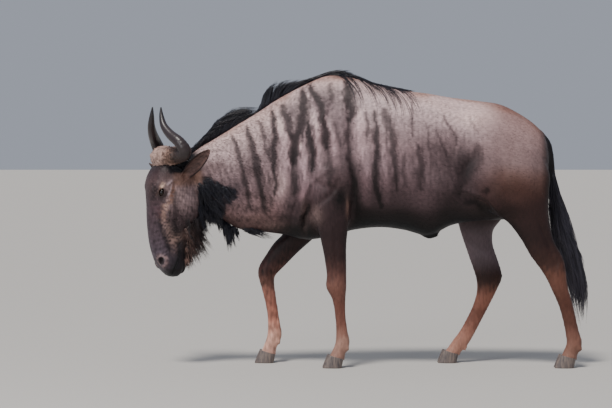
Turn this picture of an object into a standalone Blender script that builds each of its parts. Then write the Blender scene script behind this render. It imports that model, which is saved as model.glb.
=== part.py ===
"""A blue wildebeest bull at life size, walking slowly with its head low.

It faces -X with its left side to -Y and stands on eight flat-soled claws at
z = 0. Lengths are metres. Outlines are measured along the body as stations,
each with the two points that the side view shows and a half width across.
"""
import math

import bmesh
import bpy
import numpy as np
from mathutils import Matrix, Vector
from mathutils.bvhtree import BVHTree

GAP = 0.0003            # air between two touching nodes
GROWN_LIMIT = 3.0
BOX_CENTRE = (-0.004, -0.017)   # x and y of the middle of the finished model

# The trunk and neck, from the buttocks to the nape.
# station, top x, top z, bottom x, bottom z, half width, side shift, egg
TRUNK = (
    ("buttock end", 0.850, 0.990, 0.846, 0.880, 0.055, 0.0, 0.0),
    ("buttock", 0.828, 1.075, 0.830, 0.760, 0.110, 0.0, 0.0),
    ("tail root", 0.760, 1.145, 0.742, 0.690, 0.155, 0.0, 0.05),
    ("croup", 0.635, 1.215, 0.621, 0.675, 0.182, 0.0, 0.10),
    ("hip", 0.518, 1.236, 0.509, 0.670, 0.192, 0.0, 0.12),
    ("loin", 0.388, 1.252, 0.398, 0.650, 0.196, 0.0, 0.12),
    ("belly", 0.281, 1.271, 0.295, 0.615, 0.206, 0.0, 0.12),
    ("last rib", 0.165, 1.285, 0.174, 0.628, 0.213, 0.0, 0.12),
    ("ribs", 0.044, 1.310, 0.063, 0.640, 0.208, 0.0, 0.16),
    ("withers", -0.077, 1.347, -0.058, 0.628, 0.186, 0.0, 0.22),
    ("shoulder", -0.188, 1.352, -0.170, 0.598, 0.172, 0.0, 0.26),
    ("brisket", -0.305, 1.303, -0.277, 0.583, 0.158, 0.0, 0.24),
    ("breast", -0.412, 1.245, -0.384, 0.606, 0.134, -0.002, 0.18),
    ("neck base", -0.514, 1.178, -0.491, 0.624, 0.112, -0.006, 0.14),
    ("lower neck", -0.611, 1.119, -0.575, 0.660, 0.096, -0.012, 0.10),
    ("mid neck", -0.704, 1.061, -0.645, 0.715, 0.085, -0.018, 0.06),
    ("throat", -0.774, 1.019, -0.715, 0.772, 0.077, -0.024, 0.02),
    ("nape", -0.830, 0.975, -0.780, 0.835, 0.064, -0.030, 0.0),
)

# The legs. Each station is front x, front z, back x, back z, half width, y.
NEAR_FORELEG = (
    ("shoulder blade", -0.207, 1.150, -0.067, 1.110, 0.040, -0.105),
    ("upper arm", -0.281, 0.896, -0.067, 0.849, 0.066, -0.118),
    ("shoulder point", -0.272, 0.742, -0.067, 0.751, 0.070, -0.124),
    ("elbow", -0.235, 0.658, -0.081, 0.658, 0.058, -0.128),
    ("forearm", -0.212, 0.570, -0.091, 0.570, 0.048, -0.128),
    ("low forearm", -0.195, 0.486, -0.092, 0.486, 0.039, -0.126),
    ("above knee", -0.188, 0.425, -0.092, 0.425, 0.035, -0.124),
    ("knee", -0.191, 0.374, -0.092, 0.374, 0.038, -0.122),
    ("below knee", -0.163, 0.318, -0.096, 0.318, 0.029, -0.120),
    ("cannon", -0.150, 0.249, -0.096, 0.249, 0.024, -0.118),
    ("low cannon", -0.145, 0.174, -0.087, 0.174, 0.024, -0.117),
    ("fetlock", -0.148, 0.114, -0.076, 0.114, 0.032, -0.116),
    ("pastern", -0.162, 0.080, -0.096, 0.068, 0.032, -0.116),
    ("coronet", -0.182, 0.040, -0.102, 0.020, 0.040, -0.116),
)
FAR_FORELEG = (
    ("shoulder blade", -0.207, 1.150, -0.067, 1.110, 0.040, 0.105),
    ("upper arm", -0.309, 0.906, -0.100, 0.813, 0.066, 0.118),
    ("shoulder point", -0.356, 0.729, -0.133, 0.690, 0.070, 0.124),
    ("elbow", -0.386, 0.621, -0.240, 0.585, 0.058, 0.128),
    ("forearm", -0.435, 0.566, -0.319, 0.515, 0.047, 0.128),
    ("low forearm", -0.477, 0.501, -0.384, 0.450, 0.038, 0.126),
    ("above knee", -0.502, 0.459, -0.421, 0.412, 0.035, 0.124),
    ("knee", -0.509, 0.415, -0.428, 0.388, 0.038, 0.122),
    ("below knee", -0.491, 0.345, -0.425, 0.346, 0.029, 0.120),
    ("cannon", -0.472, 0.266, -0.414, 0.272, 0.024, 0.118),
    ("low cannon", -0.463, 0.192, -0.403, 0.200, 0.024, 0.117),
    ("fetlock", -0.466, 0.128, -0.393, 0.126, 0.032, 0.116),
    ("pastern", -0.480, 0.086, -0.416, 0.072, 0.032, 0.116),
    ("coronet", -0.499, 0.040, -0.424, 0.020, 0.040, 0.116),
)
NEAR_HINDLEG = (
    ("hip joint", 0.590, 1.050, 0.800, 1.010, 0.060, -0.098),
    ("thigh", 0.500, 0.872, 0.846, 0.900, 0.076, -0.112),
    ("stifle", 0.528, 0.747, 0.845, 0.816, 0.074, -0.116),
    ("upper gaskin", 0.639, 0.677, 0.842, 0.765, 0.062, -0.118),
    ("gaskin", 0.704, 0.598, 0.844, 0.693, 0.050, -0.119),
    ("low gaskin", 0.751, 0.519, 0.865, 0.593, 0.038, -0.120),
    ("above hock", 0.797, 0.458, 0.900, 0.526, 0.032, -0.120),
    ("hock", 0.830, 0.405, 0.918, 0.472, 0.034, -0.120),
    ("below hock", 0.853, 0.356, 0.928, 0.384, 0.030, -0.119),
    ("cannon top", 0.881, 0.295, 0.950, 0.307, 0.026, -0.118),
    ("cannon", 0.901, 0.230, 0.967, 0.239, 0.024, -0.117),
    ("low cannon", 0.914, 0.169, 0.982, 0.174, 0.025, -0.116),
    ("fetlock", 0.921, 0.114, 0.998, 0.112, 0.032, -0.115),
    ("pastern", 0.908, 0.078, 0.978, 0.066, 0.032, -0.115),
    ("coronet", 0.890, 0.040, 0.972, 0.020, 0.040, -0.115),
)
FAR_HINDLEG = (
    ("hip joint", 0.570, 1.045, 0.785, 1.000, 0.060, 0.098),
    ("thigh", 0.444, 0.859, 0.770, 0.868, 0.076, 0.112),
    ("stifle", 0.416, 0.734, 0.700, 0.752, 0.074, 0.116),
    ("upper gaskin", 0.430, 0.659, 0.640, 0.671, 0.062, 0.118),
    ("gaskin", 0.449, 0.594, 0.604, 0.622, 0.050, 0.119),
    ("low gaskin", 0.470, 0.535, 0.602, 0.557, 0.039, 0.120),
    ("above hock", 0.499, 0.455, 0.626, 0.480, 0.032, 0.120),
    ("hock", 0.518, 0.394, 0.645, 0.406, 0.034, 0.120),
    ("below hock", 0.521, 0.338, 0.622, 0.346, 0.030, 0.119),
    ("cannon top", 0.504, 0.273, 0.590, 0.280, 0.026, 0.118),
    ("cannon", 0.472, 0.205, 0.550, 0.203, 0.024, 0.117),
    ("low cannon", 0.438, 0.145, 0.515, 0.136, 0.025, 0.116),
    ("fetlock", 0.412, 0.110, 0.487, 0.088, 0.032, 0.115),
    ("pastern", 0.390, 0.078, 0.455, 0.055, 0.032, 0.115),
    ("coronet", 0.362, 0.040, 0.440, 0.020, 0.040, 0.115),
)
LEGS = (
    ("foreleg_left", NEAR_FORELEG, 1),
    ("foreleg_right", FAR_FORELEG, 1),
    ("hindleg_left", NEAR_HINDLEG, 1),
    ("hindleg_right", FAR_HINDLEG, 1),
)
NECK_CUT_AT = (-0.452, 0.0, 0.9)
NECK_CUT_WAY = (1.0, 0.0, 0.1)
LEG_INNER_Y = 0.045     # the legs' nodes begin this far from the mid plane
LEG_CUT_MARGIN = 0.035  # room round a leg inside the prism that parts it off
LEG_OUTER_Y = 0.30

# Muscles, bones and hollows that show under the coat on both flanks:
# form, x, z, size along, size up, height
FORMS = (
    ("upper arm muscle", -0.150, 0.870, 0.080, 0.100, 0.014),
    ("furrow behind the shoulder", -0.030, 0.860, 0.028, 0.130, -0.010),
    ("shoulder blade", -0.205, 1.080, 0.055, 0.140, 0.009),
    ("furrow before the shoulder", -0.330, 0.960, 0.040, 0.160, -0.008),
    ("rib cage", 0.110, 0.920, 0.160, 0.150, 0.010),
    ("flank hollow", 0.395, 0.990, 0.070, 0.110, -0.018),
    ("hip point", 0.500, 1.140, 0.036, 0.030, 0.013),
    ("loin edge", 0.330, 1.180, 0.120, 0.025, 0.006),
    ("thigh", 0.670, 0.900, 0.100, 0.120, 0.010),
    ("furrow before the thigh", 0.455, 0.880, 0.030, 0.080, -0.008),
    ("kneecap", 0.520, 0.780, 0.045, 0.050, 0.009),
    ("furrow in the buttock", 0.790, 0.900, 0.025, 0.110, -0.007),
)

# A foot: two claws under a sloping coronet.
CLAW_LENGTH = 0.098
CLAW_WIDTH = 0.043
CLAW_SPACING = 0.047
CLAW_TOP_LENGTH = 0.080
CORONET_FRONT_Z = 0.062
CORONET_BACK_Z = 0.040
CLAW_POINTS = 12
DEWCLAW_RADII = (0.013, 0.010, 0.018)

# The head, in its own frame: x to the animal's right, y forward out of the
# face, z up the face. Its zero is on the face midway between the eyes.
HEAD_AT = (-1.000, -0.080, 0.797)
HEAD_YAW = math.radians(21)      # the face turns to the animal's left
HEAD_PITCH = math.radians(5)     # the muzzle is carried back under the brow
# station, z, face y, jaw y, half width, egg
HEAD = (
    ("poll", 0.182, -0.075, -0.160, 0.046, 0.0),
    ("crown", 0.160, -0.038, -0.186, 0.074, 0.0),
    ("forehead", 0.112, -0.004, -0.203, 0.091, 0.05),
    ("brow", 0.060, 0.014, -0.213, 0.095, 0.10),
    ("eye", 0.010, 0.018, -0.220, 0.091, 0.10),
    ("cheek", -0.050, 0.021, -0.227, 0.082, 0.05),
    ("jaw angle", -0.110, 0.026, -0.222, 0.074, 0.05),
    ("long face", -0.165, 0.027, -0.200, 0.064, 0.08),
    ("bridge", -0.220, 0.025, -0.168, 0.056, 0.10),
    ("above nostril", -0.272, 0.016, -0.144, 0.057, 0.10),
    ("nostril", -0.315, 0.001, -0.132, 0.064, 0.12),
    ("upper lip", -0.350, -0.018, -0.124, 0.064, 0.10),
    ("lip edge", -0.374, -0.038, -0.112, 0.050, 0.05),
    ("lip end", -0.388, -0.060, -0.096, 0.028, 0.0),
)
BROW_AT = (0.061, -0.030, 0.036)
BROW_RADII = (0.030, 0.037, 0.042)
CHEEK_AT = (0.046, -0.145, -0.065)
CHEEK_RADII = (0.036, 0.066, 0.105)
CHIN_AT = (0.0, -0.112, -0.335)
CHIN_RADII = (0.040, 0.026, 0.044)
NOSTRIL_RIM_AT = (0.047, -0.026, -0.318)
NOSTRIL_RIM_RADII = (0.021, 0.019, 0.032)
EYE_AT = (0.069, -0.036, 0.010)
EYE_RADIUS = 0.021
LID_THICKNESS = 0.004
EYE_OPENING = (0.0175, 0.0105)   # half length along the face, half height
EYE_OUT = (0.88, 0.45, 0.15)     # the way the right eye looks
EYE_SLANT = math.radians(20)     # its front corner lies nearer to the face
NOSTRIL_AT = (0.050, -0.008, -0.306)
NOSTRIL_RADII = (0.010, 0.013, 0.020)
# The line between the lips, from the front up to the corner: face y and z.
MOUTH_LINE = ((-0.040, -0.400), (-0.062, -0.350), (-0.082, -0.318), (-0.094, -0.286), (-0.098, -0.262))
MOUTH_GAP = 0.0024

# A horn's centre line from the midline of the boss to its tip, in the head's
# frame for the right side: x, y, z, radius across, radius along the boss.
HORN = (
    ("past the middle", -0.060, -0.088, 0.160, 0.040, 0.064),
    ("boss middle", 0.000, -0.086, 0.162, 0.039, 0.064),
    ("boss", 0.060, -0.090, 0.166, 0.044, 0.068),
    ("boss end", 0.116, -0.100, 0.158, 0.039, 0.054),
    ("elbow", 0.166, -0.116, 0.152, 0.034, 0.039),
    ("outermost", 0.198, -0.120, 0.186, 0.030, 0.031),
    ("turn in", 0.180, -0.102, 0.236, 0.026, 0.026),
    ("middle", 0.134, -0.078, 0.276, 0.022, 0.022),
    ("rise", 0.096, -0.063, 0.316, 0.017, 0.017),
    ("upper", 0.074, -0.062, 0.360, 0.011, 0.011),
    ("tip", 0.064, -0.066, 0.402, 0.003, 0.003),
)

# An ear as a pointed leaf rolled into a cup: base and tip in the head's frame,
# and the way its cup opens.
EAR_LEFT = ((-0.078, -0.140, 0.078), (-0.225, -0.240, 0.215), (-0.60, 0.55, -0.20))
EAR_RIGHT = ((0.078, -0.140, 0.078), (0.262, -0.085, 0.150), (0.15, 0.75, -0.45))
EAR_WALL = 0.0045
EAR_SINK = 0.012
# share of the length, half width of the leaf, degrees through which it is rolled
EAR_LEAF = (
    ("stalk", 0.00, 0.030, 240),
    ("cup", 0.25, 0.040, 200),
    ("widest", 0.50, 0.041, 160),
    ("narrowing", 0.75, 0.029, 140),
    ("tip", 1.00, 0.004, 120),
)

# The tail: the dock's centre line with its radius, then the tuft of long hair.
DOCK = (
    ("root", 0.800, 1.082, 0.024),
    ("dock top", 0.843, 1.030, 0.021),
    ("dock", 0.860, 0.955, 0.018),
    ("low dock", 0.870, 0.860, 0.016),
    ("dock end", 0.884, 0.740, 0.014),
    ("in the tuft", 0.908, 0.630, 0.012),
    ("last bone", 0.930, 0.540, 0.009),
)
TUFT = (
    ("tuft top", 0.890, 0.700, 0.016),
    ("tuft upper", 0.912, 0.600, 0.032),
    ("tuft middle", 0.946, 0.455, 0.042),
    ("tuft lower", 0.980, 0.310, 0.042),
    ("tuft end", 1.006, 0.210, 0.028),
    ("tuft tip", 1.020, 0.150, 0.008),
)
TUFT_FLATNESS = 0.85
TUFT_CORE_END = 0.42             # the solid middle of the tuft ends at this height
TUFT_CORE_SHARE = 0.55
TUFT_LOCKS = 11
TUFT_LOCK_WIDTH = 0.034
# how far out of the tuft's middle a lock's root, bend and tip lie
TUFT_LOCK_PLACES = (0.25, 1.35, 0.80)

# The mane grows along the crest. The core is a low ridge under the locks.
# station, x, crest z, core height, lock length, rise of the locks, side shift
MANE = (
    ("poll hair", -0.850, 0.985, 0.018, 0.060, 0.60, -0.030),
    ("nape hair", -0.800, 1.010, 0.018, 0.080, 0.45, -0.027),
    ("upper crest", -0.740, 1.044, 0.018, 0.090, 0.45, -0.020),
    ("first tuft", -0.660, 1.092, 0.024, 0.130, 0.75, -0.015),
    ("behind the first tuft", -0.610, 1.124, 0.022, 0.110, 0.60, -0.012),
    ("dip", -0.570, 1.147, 0.018, 0.075, 0.40, -0.010),
    ("second tuft", -0.515, 1.178, 0.026, 0.130, 0.85, -0.006),
    ("behind the second tuft", -0.445, 1.224, 0.020, 0.110, 0.40, -0.003),
    ("front of withers", -0.350, 1.279, 0.016, 0.120, 0.20, -0.001),
    ("rising withers", -0.260, 1.324, 0.014, 0.130, 0.12, 0.0),
    ("withers", -0.170, 1.352, 0.014, 0.140, 0.10, 0.0),
    ("back of withers", -0.060, 1.346, 0.014, 0.140, 0.10, 0.0),
    ("back hair", 0.050, 1.310, 0.014, 0.110, 0.10, 0.0),
    ("last hair", 0.150, 1.290, 0.010, 0.080, 0.10, 0.0),
)
MANE_SINK = 0.030
MANE_CORE_HALF_WIDTH = 0.017
MANE_ROOT = 0.40                 # how high up in the core the locks begin
MANE_SPACING = 0.049             # from lock to lock along one side of the crest
MANE_LOCK_WIDTH = 0.036
MANE_CLEARANCE = 0.013           # height of a lying lock over the skin
MANE_RUNS = (("mane_neck", 0, 5), ("mane_shoulder", 5, 8), ("mane_withers", 8, 13))

# The beards hang from the jaw and from the front of the throat.
# station, root x, root z, core depth, lock length, half spread, side shift, lean back
CHIN_BEARD = (
    ("chin", -0.852, 0.515, 0.018, 0.080, 0.022, -0.026, 0.20),
    ("jaw front", -0.832, 0.580, 0.026, 0.130, 0.030, -0.018, 0.30),
    ("jaw", -0.800, 0.645, 0.034, 0.190, 0.036, -0.008, 0.30),
    ("jaw back", -0.790, 0.735, 0.030, 0.220, 0.036, -0.004, 0.35),
)
THROAT_BEARD = (
    ("behind the jaw", -0.768, 0.835, 0.030, 0.140, 0.036, -0.028, 0.10),
    ("throat top", -0.738, 0.795, 0.040, 0.150, 0.040, -0.024, 0.10),
    ("throat middle", -0.690, 0.735, 0.036, 0.150, 0.044, -0.019, 0.15),
    ("throat low", -0.630, 0.688, 0.036, 0.180, 0.040, -0.014, 0.15),
    ("breast hair", -0.560, 0.645, 0.026, 0.090, 0.030, -0.008, 0.50),
    ("last breast hair", -0.480, 0.620, 0.016, 0.070, 0.020, -0.004, 0.80),
)
BEARD_SINK = 0.035
BEARD_SPACING = 0.044
BEARD_CORE = 0.75                # the core's half width as a share of the spread
BEARD_ROOT = 0.30                # how far out in the core the locks begin
BEARD_LOCK_WIDTH = 0.038

LOCK_THICKNESS = 0.008
LOCK_GAP = 0.0009                # air between two runs of locks
LOCK_RINGS = 4
HAIR_SEED = 5

BODY_VOXEL = 0.010
HEAD_VOXEL = 0.005
BODY_TRIANGLES = 4150
HEAD_TRIANGLES = 1450

COAT_BROWN = (0.105, 0.072, 0.058, 1.0)
LEG_BROWN = (0.130, 0.062, 0.036, 1.0)
FACE_BLACK = (0.022, 0.017, 0.018, 1.0)
HAIR_BLACK = (0.008, 0.008, 0.010, 1.0)
HORN_BROWN = (0.060, 0.044, 0.038, 1.0)
HOOF_GREY = (0.070, 0.064, 0.062, 1.0)
EYE_DARK = (0.010, 0.006, 0.004, 1.0)


def clear_scene():
    """Remove every object, so that the scene holds only this model."""
    for old in list(bpy.data.objects):
        bpy.data.objects.remove(old, do_unlink=True)


def through(rows, per_span):
    """Carry a Catmull-Rom curve through the rows, per_span steps to a span."""
    rows = np.asarray(rows, dtype=float)
    padded = np.vstack([2 * rows[0] - rows[1], rows, 2 * rows[-1] - rows[-2]])
    spans = len(rows) - 1
    t = np.linspace(0.0, spans, spans * per_span + 1)
    k = np.minimum(t.astype(int), spans - 1)
    u = (t - k)[:, None]
    a, b, c, d = padded[k], padded[k + 1], padded[k + 2], padded[k + 3]
    return 0.5 * (2 * b + (c - a) * u + (2 * a - 5 * b + 4 * c - d) * u ** 2
                  + (3 * b - a - 3 * c + d) * u ** 3)


def numbers(table):
    """The table's rows without the names of the stations."""
    return np.array([row[1:] for row in table], dtype=float)


def tube_mesh(name, rings):
    """Close a stack of rings, an array of ring by side by xyz, with two poles."""
    count, sides = rings.shape[:2]
    first = rings[0].mean(axis=0)
    last = rings[-1].mean(axis=0)
    points = np.vstack([rings.reshape(-1, 3), first, last])
    index = np.arange(count * sides).reshape(count, sides)
    after = np.roll(index, -1, axis=1)
    quads = np.stack([index[:-1], after[:-1], after[1:], index[1:]], axis=-1)
    start_pole = count * sides
    fan_a = [(int(b), int(a), start_pole) for a, b in zip(index[0], after[0])]
    fan_b = [(int(a), int(b), start_pole + 1) for a, b in zip(index[-1], after[-1])]
    mesh = bpy.data.meshes.new(name)
    mesh.from_pydata(points.tolist(), [], quads.reshape(-1, 4).tolist() + fan_a + fan_b)
    return outward(mesh)


def shell_mesh(name, front, back):
    """Close two like grids of points, a wall apart, along their four borders.

    Both grids are split into triangles along the same diagonals.
    """
    rows, columns = front.shape[:2]
    index = np.arange(rows * columns).reshape(rows, columns)
    under = index + rows * columns
    a, b, c, d = index[:-1, :-1], index[:-1, 1:], index[1:, 1:], index[1:, :-1]
    halves = np.concatenate([np.stack([a, b, c], -1).reshape(-1, 3),
                             np.stack([a, c, d], -1).reshape(-1, 3)])
    rim = np.concatenate([index[0, :-1], index[:-1, -1], index[-1, :0:-1], index[:0:-1, 0]])
    after = np.roll(rim, -1)
    low = rim + rows * columns
    low_after = after + rows * columns
    border = np.concatenate([np.stack([after, rim, low], -1), np.stack([after, low, low_after], -1)])
    faces = np.concatenate([halves, (halves + under[0, 0])[:, ::-1], border])
    mesh = bpy.data.meshes.new(name)
    mesh.from_pydata(np.vstack([front.reshape(-1, 3), back.reshape(-1, 3)]).tolist(), [],
                     faces.tolist())
    return outward(mesh)


def outward(mesh):
    """Turn the faces of a closed mesh so that they point out."""
    turned = bmesh.new()
    turned.from_mesh(mesh)
    bmesh.ops.recalc_face_normals(turned, faces=turned.faces)
    turned.to_mesh(mesh)
    turned.free()
    return mesh


def oval_rings(front, back, half_width, shift, egg, sides):
    """Ovals whose long axis joins front and back in the side view.

    A point at angle t sits at the middle plus cos t of the half axis towards
    front, and sin t of the half width across, wider towards back by egg.
    """
    t = np.linspace(0.0, 2 * math.pi, sides, endpoint=False)[None, :]
    middle = (front + back) / 2
    half = (front - back) / 2
    across = half_width[:, None] * np.sin(t) * (1 - egg[:, None] * np.cos(t))
    rings = np.empty((len(front), sides, 3))
    rings[..., 0] = middle[:, 0:1] + half[:, 0:1] * np.cos(t)
    rings[..., 2] = middle[:, 1:2] + half[:, 1:2] * np.cos(t)
    rings[..., 1] = shift[:, None] + across
    return rings


def trunk_mesh():
    rows = through(numbers(TRUNK), 4)
    rings = oval_rings(rows[:, 0:2], rows[:, 2:4], rows[:, 4], rows[:, 5], rows[:, 6], 32)
    return tube_mesh("trunk", rings)


def leg_mesh(name, table):
    rows = through(numbers(table), 4)
    none = np.zeros(len(rows))
    rings = oval_rings(rows[:, 0:2], rows[:, 2:4], rows[:, 4], rows[:, 5], none, 20)
    return tube_mesh(name, rings)


def round_tube(name, centres, radius_a, radius_b, side_hint, sides):
    """A tube with oval rings square to its centre line.

    radius_a is measured towards side_hint made square to the line, and
    radius_b square to both.
    """
    centres = np.asarray(centres, dtype=float)
    along = np.gradient(centres, axis=0)
    along /= np.linalg.norm(along, axis=1)[:, None]
    hint = np.broadcast_to(np.asarray(side_hint, dtype=float), centres.shape)
    side = hint - (hint * along).sum(axis=1)[:, None] * along
    side /= np.linalg.norm(side, axis=1)[:, None]
    other = np.cross(along, side)
    t = np.linspace(0.0, 2 * math.pi, sides, endpoint=False)[None, :, None]
    rings = (centres[:, None, :] + np.cos(t) * np.asarray(radius_a)[:, None, None] * side[:, None, :]
             + np.sin(t) * np.asarray(radius_b)[:, None, None] * other[:, None, :])
    return tube_mesh(name, rings)


def ball_mesh(name, centre, radii, segments=16):
    """An ellipsoid with its radii along x, y and z."""
    made = bmesh.new()
    bmesh.ops.create_uvsphere(made, u_segments=segments, v_segments=segments // 2, radius=1.0)
    bmesh.ops.scale(made, vec=radii, verts=made.verts)
    bmesh.ops.translate(made, vec=centre, verts=made.verts)
    mesh = bpy.data.meshes.new(name)
    made.to_mesh(mesh)
    made.free()
    return mesh


def prism_mesh(name, outline, y_low, y_high):
    """A side-view outline of x and z carried straight across from y_low to y_high."""
    low = [(x, y_low, z) for x, z in outline]
    high = [(x, y_high, z) for x, z in outline]
    count = len(outline)
    walls = [(k, (k + 1) % count, count + (k + 1) % count, count + k) for k in range(count)]
    caps = [tuple(range(count)), tuple(range(2 * count - 1, count - 1, -1))]
    mesh = bpy.data.meshes.new(name)
    mesh.from_pydata(low + high, [], walls + caps)
    return outward(mesh)


def put(name, mesh):
    """An object for the mesh, in the scene."""
    piece = bpy.data.objects.new(name, mesh)
    bpy.context.scene.collection.objects.link(piece)
    return piece


def joined(name, meshes):
    """All the meshes as one mesh; their bodies may overlap."""
    together = bmesh.new()
    for mesh in meshes:
        together.from_mesh(mesh)
    mesh = bpy.data.meshes.new(name)
    together.to_mesh(mesh)
    together.free()
    return mesh


def settled(piece):
    """Replace the piece's mesh by what its modifiers make of it."""
    view = bpy.context.evaluated_depsgraph_get()
    view.update()
    mesh = bpy.data.meshes.new_from_object(piece.evaluated_get(view))
    piece.modifiers.clear()
    piece.data = mesh
    return piece


def one_skin(piece, voxel):
    """Fuse the overlapping bodies of the piece under one even skin."""
    skin = piece.modifiers.new("skin", "REMESH")
    skin.mode = "VOXEL"
    skin.voxel_size = voxel
    return settled(piece)


def points_of(mesh):
    flat = np.empty(len(mesh.vertices) * 3)
    mesh.vertices.foreach_get("co", flat)
    return flat.reshape(-1, 3)


def set_points(mesh, points):
    mesh.vertices.foreach_set("co", np.asarray(points, dtype=float).ravel())
    mesh.update()


def relax(mesh, rounds, pull=0.6, push=-0.62):
    """Smooth the mesh without shrinking it: each point goes part of the way
    towards the mean of its neighbours, then a little further back."""
    edges = np.empty(len(mesh.edges) * 2, dtype=np.int64)
    mesh.edges.foreach_get("vertices", edges)
    a, b = edges.reshape(-1, 2).T
    points = points_of(mesh)
    degree = np.bincount(np.concatenate([a, b]), minlength=len(points))[:, None]
    for _ in range(rounds):
        for step in (pull, push):
            total = np.zeros_like(points)
            np.add.at(total, a, points[b])
            np.add.at(total, b, points[a])
            points = points + step * (total / degree - points)
    set_points(mesh, points)


def thin_out(piece, triangles):
    """Collapse edges until about this many triangles are left."""
    made = bmesh.new()
    made.from_mesh(piece.data)
    bmesh.ops.triangulate(made, faces=made.faces)
    made.to_mesh(piece.data)
    made.free()
    fewer = piece.modifiers.new("fewer", "DECIMATE")
    fewer.ratio = min(1.0, triangles / len(piece.data.polygons))
    return settled(piece)


def grown(mesh, by):
    """A copy of the mesh whose faces have moved out by this much.

    Each point starts along its normal and is pushed on until it is clear of
    all the faces round it, or has gone GROWN_LIMIT times as far.
    """
    bigger = mesh.copy()
    mesh.calc_loop_triangles()
    corners = np.empty(len(mesh.loop_triangles) * 3, dtype=np.int64)
    mesh.loop_triangles.foreach_get("vertices", corners)
    corners = corners.reshape(-1, 3)
    points = points_of(mesh)
    a, b, c = (points[corners[:, k]] for k in range(3))
    facing = np.cross(b - a, c - a)
    facing /= np.maximum(np.linalg.norm(facing, axis=1), 1e-15)[:, None]
    move = np.empty(len(mesh.vertices) * 3)
    mesh.vertices.foreach_get("normal", move)
    move = by * move.reshape(-1, 3)
    for _ in range(12):
        short = by - (move[corners] * facing[:, None, :]).sum(axis=-1)
        short = np.clip(short, 0.0, None)
        push = np.zeros_like(move)
        count = np.zeros(len(move))
        np.add.at(push, corners, short[..., None] * facing[:, None, :])
        np.add.at(count, corners, short > 0)
        move += push / np.maximum(count, 1)[:, None]
        reach = np.linalg.norm(move, axis=1)
        move *= np.minimum(1.0, GROWN_LIMIT * by / np.maximum(reach, 1e-15))[:, None]
    set_points(bigger, points + move)
    return bigger


def combine(piece, other_mesh, operation, solver="EXACT"):
    """Cut the other mesh from the piece, add it, or keep what they share."""
    tool = put("tool", other_mesh)
    tool.hide_render = True
    tool.display_type = "WIRE"
    cut = piece.modifiers.new("cut", "BOOLEAN")
    cut.operation = operation
    cut.solver = solver
    cut.object = tool
    settled(piece)
    bpy.data.objects.remove(tool, do_unlink=True)
    return largest_body(piece)


def largest_body(piece):
    """Keep the piece's largest closed surface and drop loose scraps."""
    made = bmesh.new()
    made.from_mesh(piece.data)
    made.verts.ensure_lookup_table()
    seen = set()
    bodies = []
    for start in made.verts:
        if start in seen:
            continue
        body = {start}
        edge_of = [start]
        while edge_of:
            here = edge_of.pop()
            for edge in here.link_edges:
                there = edge.other_vert(here)
                if there not in body:
                    body.add(there)
                    edge_of.append(there)
        seen |= body
        bodies.append(body)
    spans = [extent_of(body) for body in bodies]
    keep = bodies[spans.index(max(spans))]
    bmesh.ops.delete(made, geom=[v for v in made.verts if v not in keep], context="VERTS")
    made.to_mesh(piece.data)
    made.free()
    return piece


def extent_of(points):
    """The diagonal of the box round these mesh points."""
    places = np.array([v.co[:] for v in points])
    return float(np.linalg.norm(places.max(axis=0) - places.min(axis=0)))


def keep_side(piece, point, normal):
    """Cut the piece by a plane and keep what the normal points away from."""
    made = bmesh.new()
    made.from_mesh(piece.data)
    geometry = made.verts[:] + made.edges[:] + made.faces[:]
    cut = bmesh.ops.bisect_plane(made, geom=geometry, plane_co=point, plane_no=normal,
                                 clear_outer=True)
    rim = [item for item in cut["geom_cut"] if isinstance(item, bmesh.types.BMEdge)]
    bmesh.ops.holes_fill(made, edges=rim)
    bmesh.ops.triangulate(made, faces=[f for f in made.faces if len(f.verts) > 3])
    bmesh.ops.recalc_face_normals(made, faces=made.faces)
    made.to_mesh(piece.data)
    made.free()
    return largest_body(piece)


def material(name, colour, roughness, metallic=0.0):
    made = bpy.data.materials.new(name)
    made.use_nodes = True
    shader = made.node_tree.nodes["Principled BSDF"]
    shader.inputs["Base Color"].default_value = colour
    shader.inputs["Roughness"].default_value = roughness
    shader.inputs["Metallic"].default_value = metallic
    return made


def finish(piece, colour, roughness):
    """Give the piece its own material and soft shading."""
    piece.data.materials.clear()
    piece.data.materials.append(material(piece.name, colour, roughness))
    piece.data.shade_smooth()
    piece.data.set_sharp_from_angle(angle=math.radians(50))
    return piece


def head_frame():
    """The head's frame in the world: right, forward and up as columns."""
    forward = Vector((-math.cos(HEAD_YAW), -math.sin(HEAD_YAW), 0.0))
    right = Vector((-math.sin(HEAD_YAW), math.cos(HEAD_YAW), 0.0))
    up = Vector((0.0, 0.0, 1.0))
    face = forward * math.cos(HEAD_PITCH) - up * math.sin(HEAD_PITCH)
    crown = up * math.cos(HEAD_PITCH) + forward * math.sin(HEAD_PITCH)
    frame = Matrix((right, face, crown)).transposed().to_4x4()
    frame.translation = Vector(HEAD_AT)
    return frame


def leg_outline(table, first, margin):
    """The outline of the prism that holds a leg from the station first down."""
    rows = numbers(table)[first:]
    front = [(x - margin, z) for x, z in rows[:, 0:2]]
    back = [(x + margin, z) for x, z in rows[:, 2:4]]
    sole_front = (front[-1][0] - margin, -margin)
    sole_back = (back[-1][0] + margin, -margin)
    return front + [sole_front, sole_back] + back[::-1]


def leg_prism(name, table, first, grow):
    side = 1.0 if table[0][-1] > 0 else -1.0
    outline = leg_outline(table, first, LEG_CUT_MARGIN + grow)
    inner = side * (LEG_INNER_Y - grow)
    outer = side * (LEG_OUTER_Y + grow)
    top_z = outline[0][1]
    outline = [(x, z + (grow if z >= top_z - LEG_CUT_MARGIN else 0.0)) for x, z in outline]
    return prism_mesh(name, outline, min(inner, outer), max(inner, outer))


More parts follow.
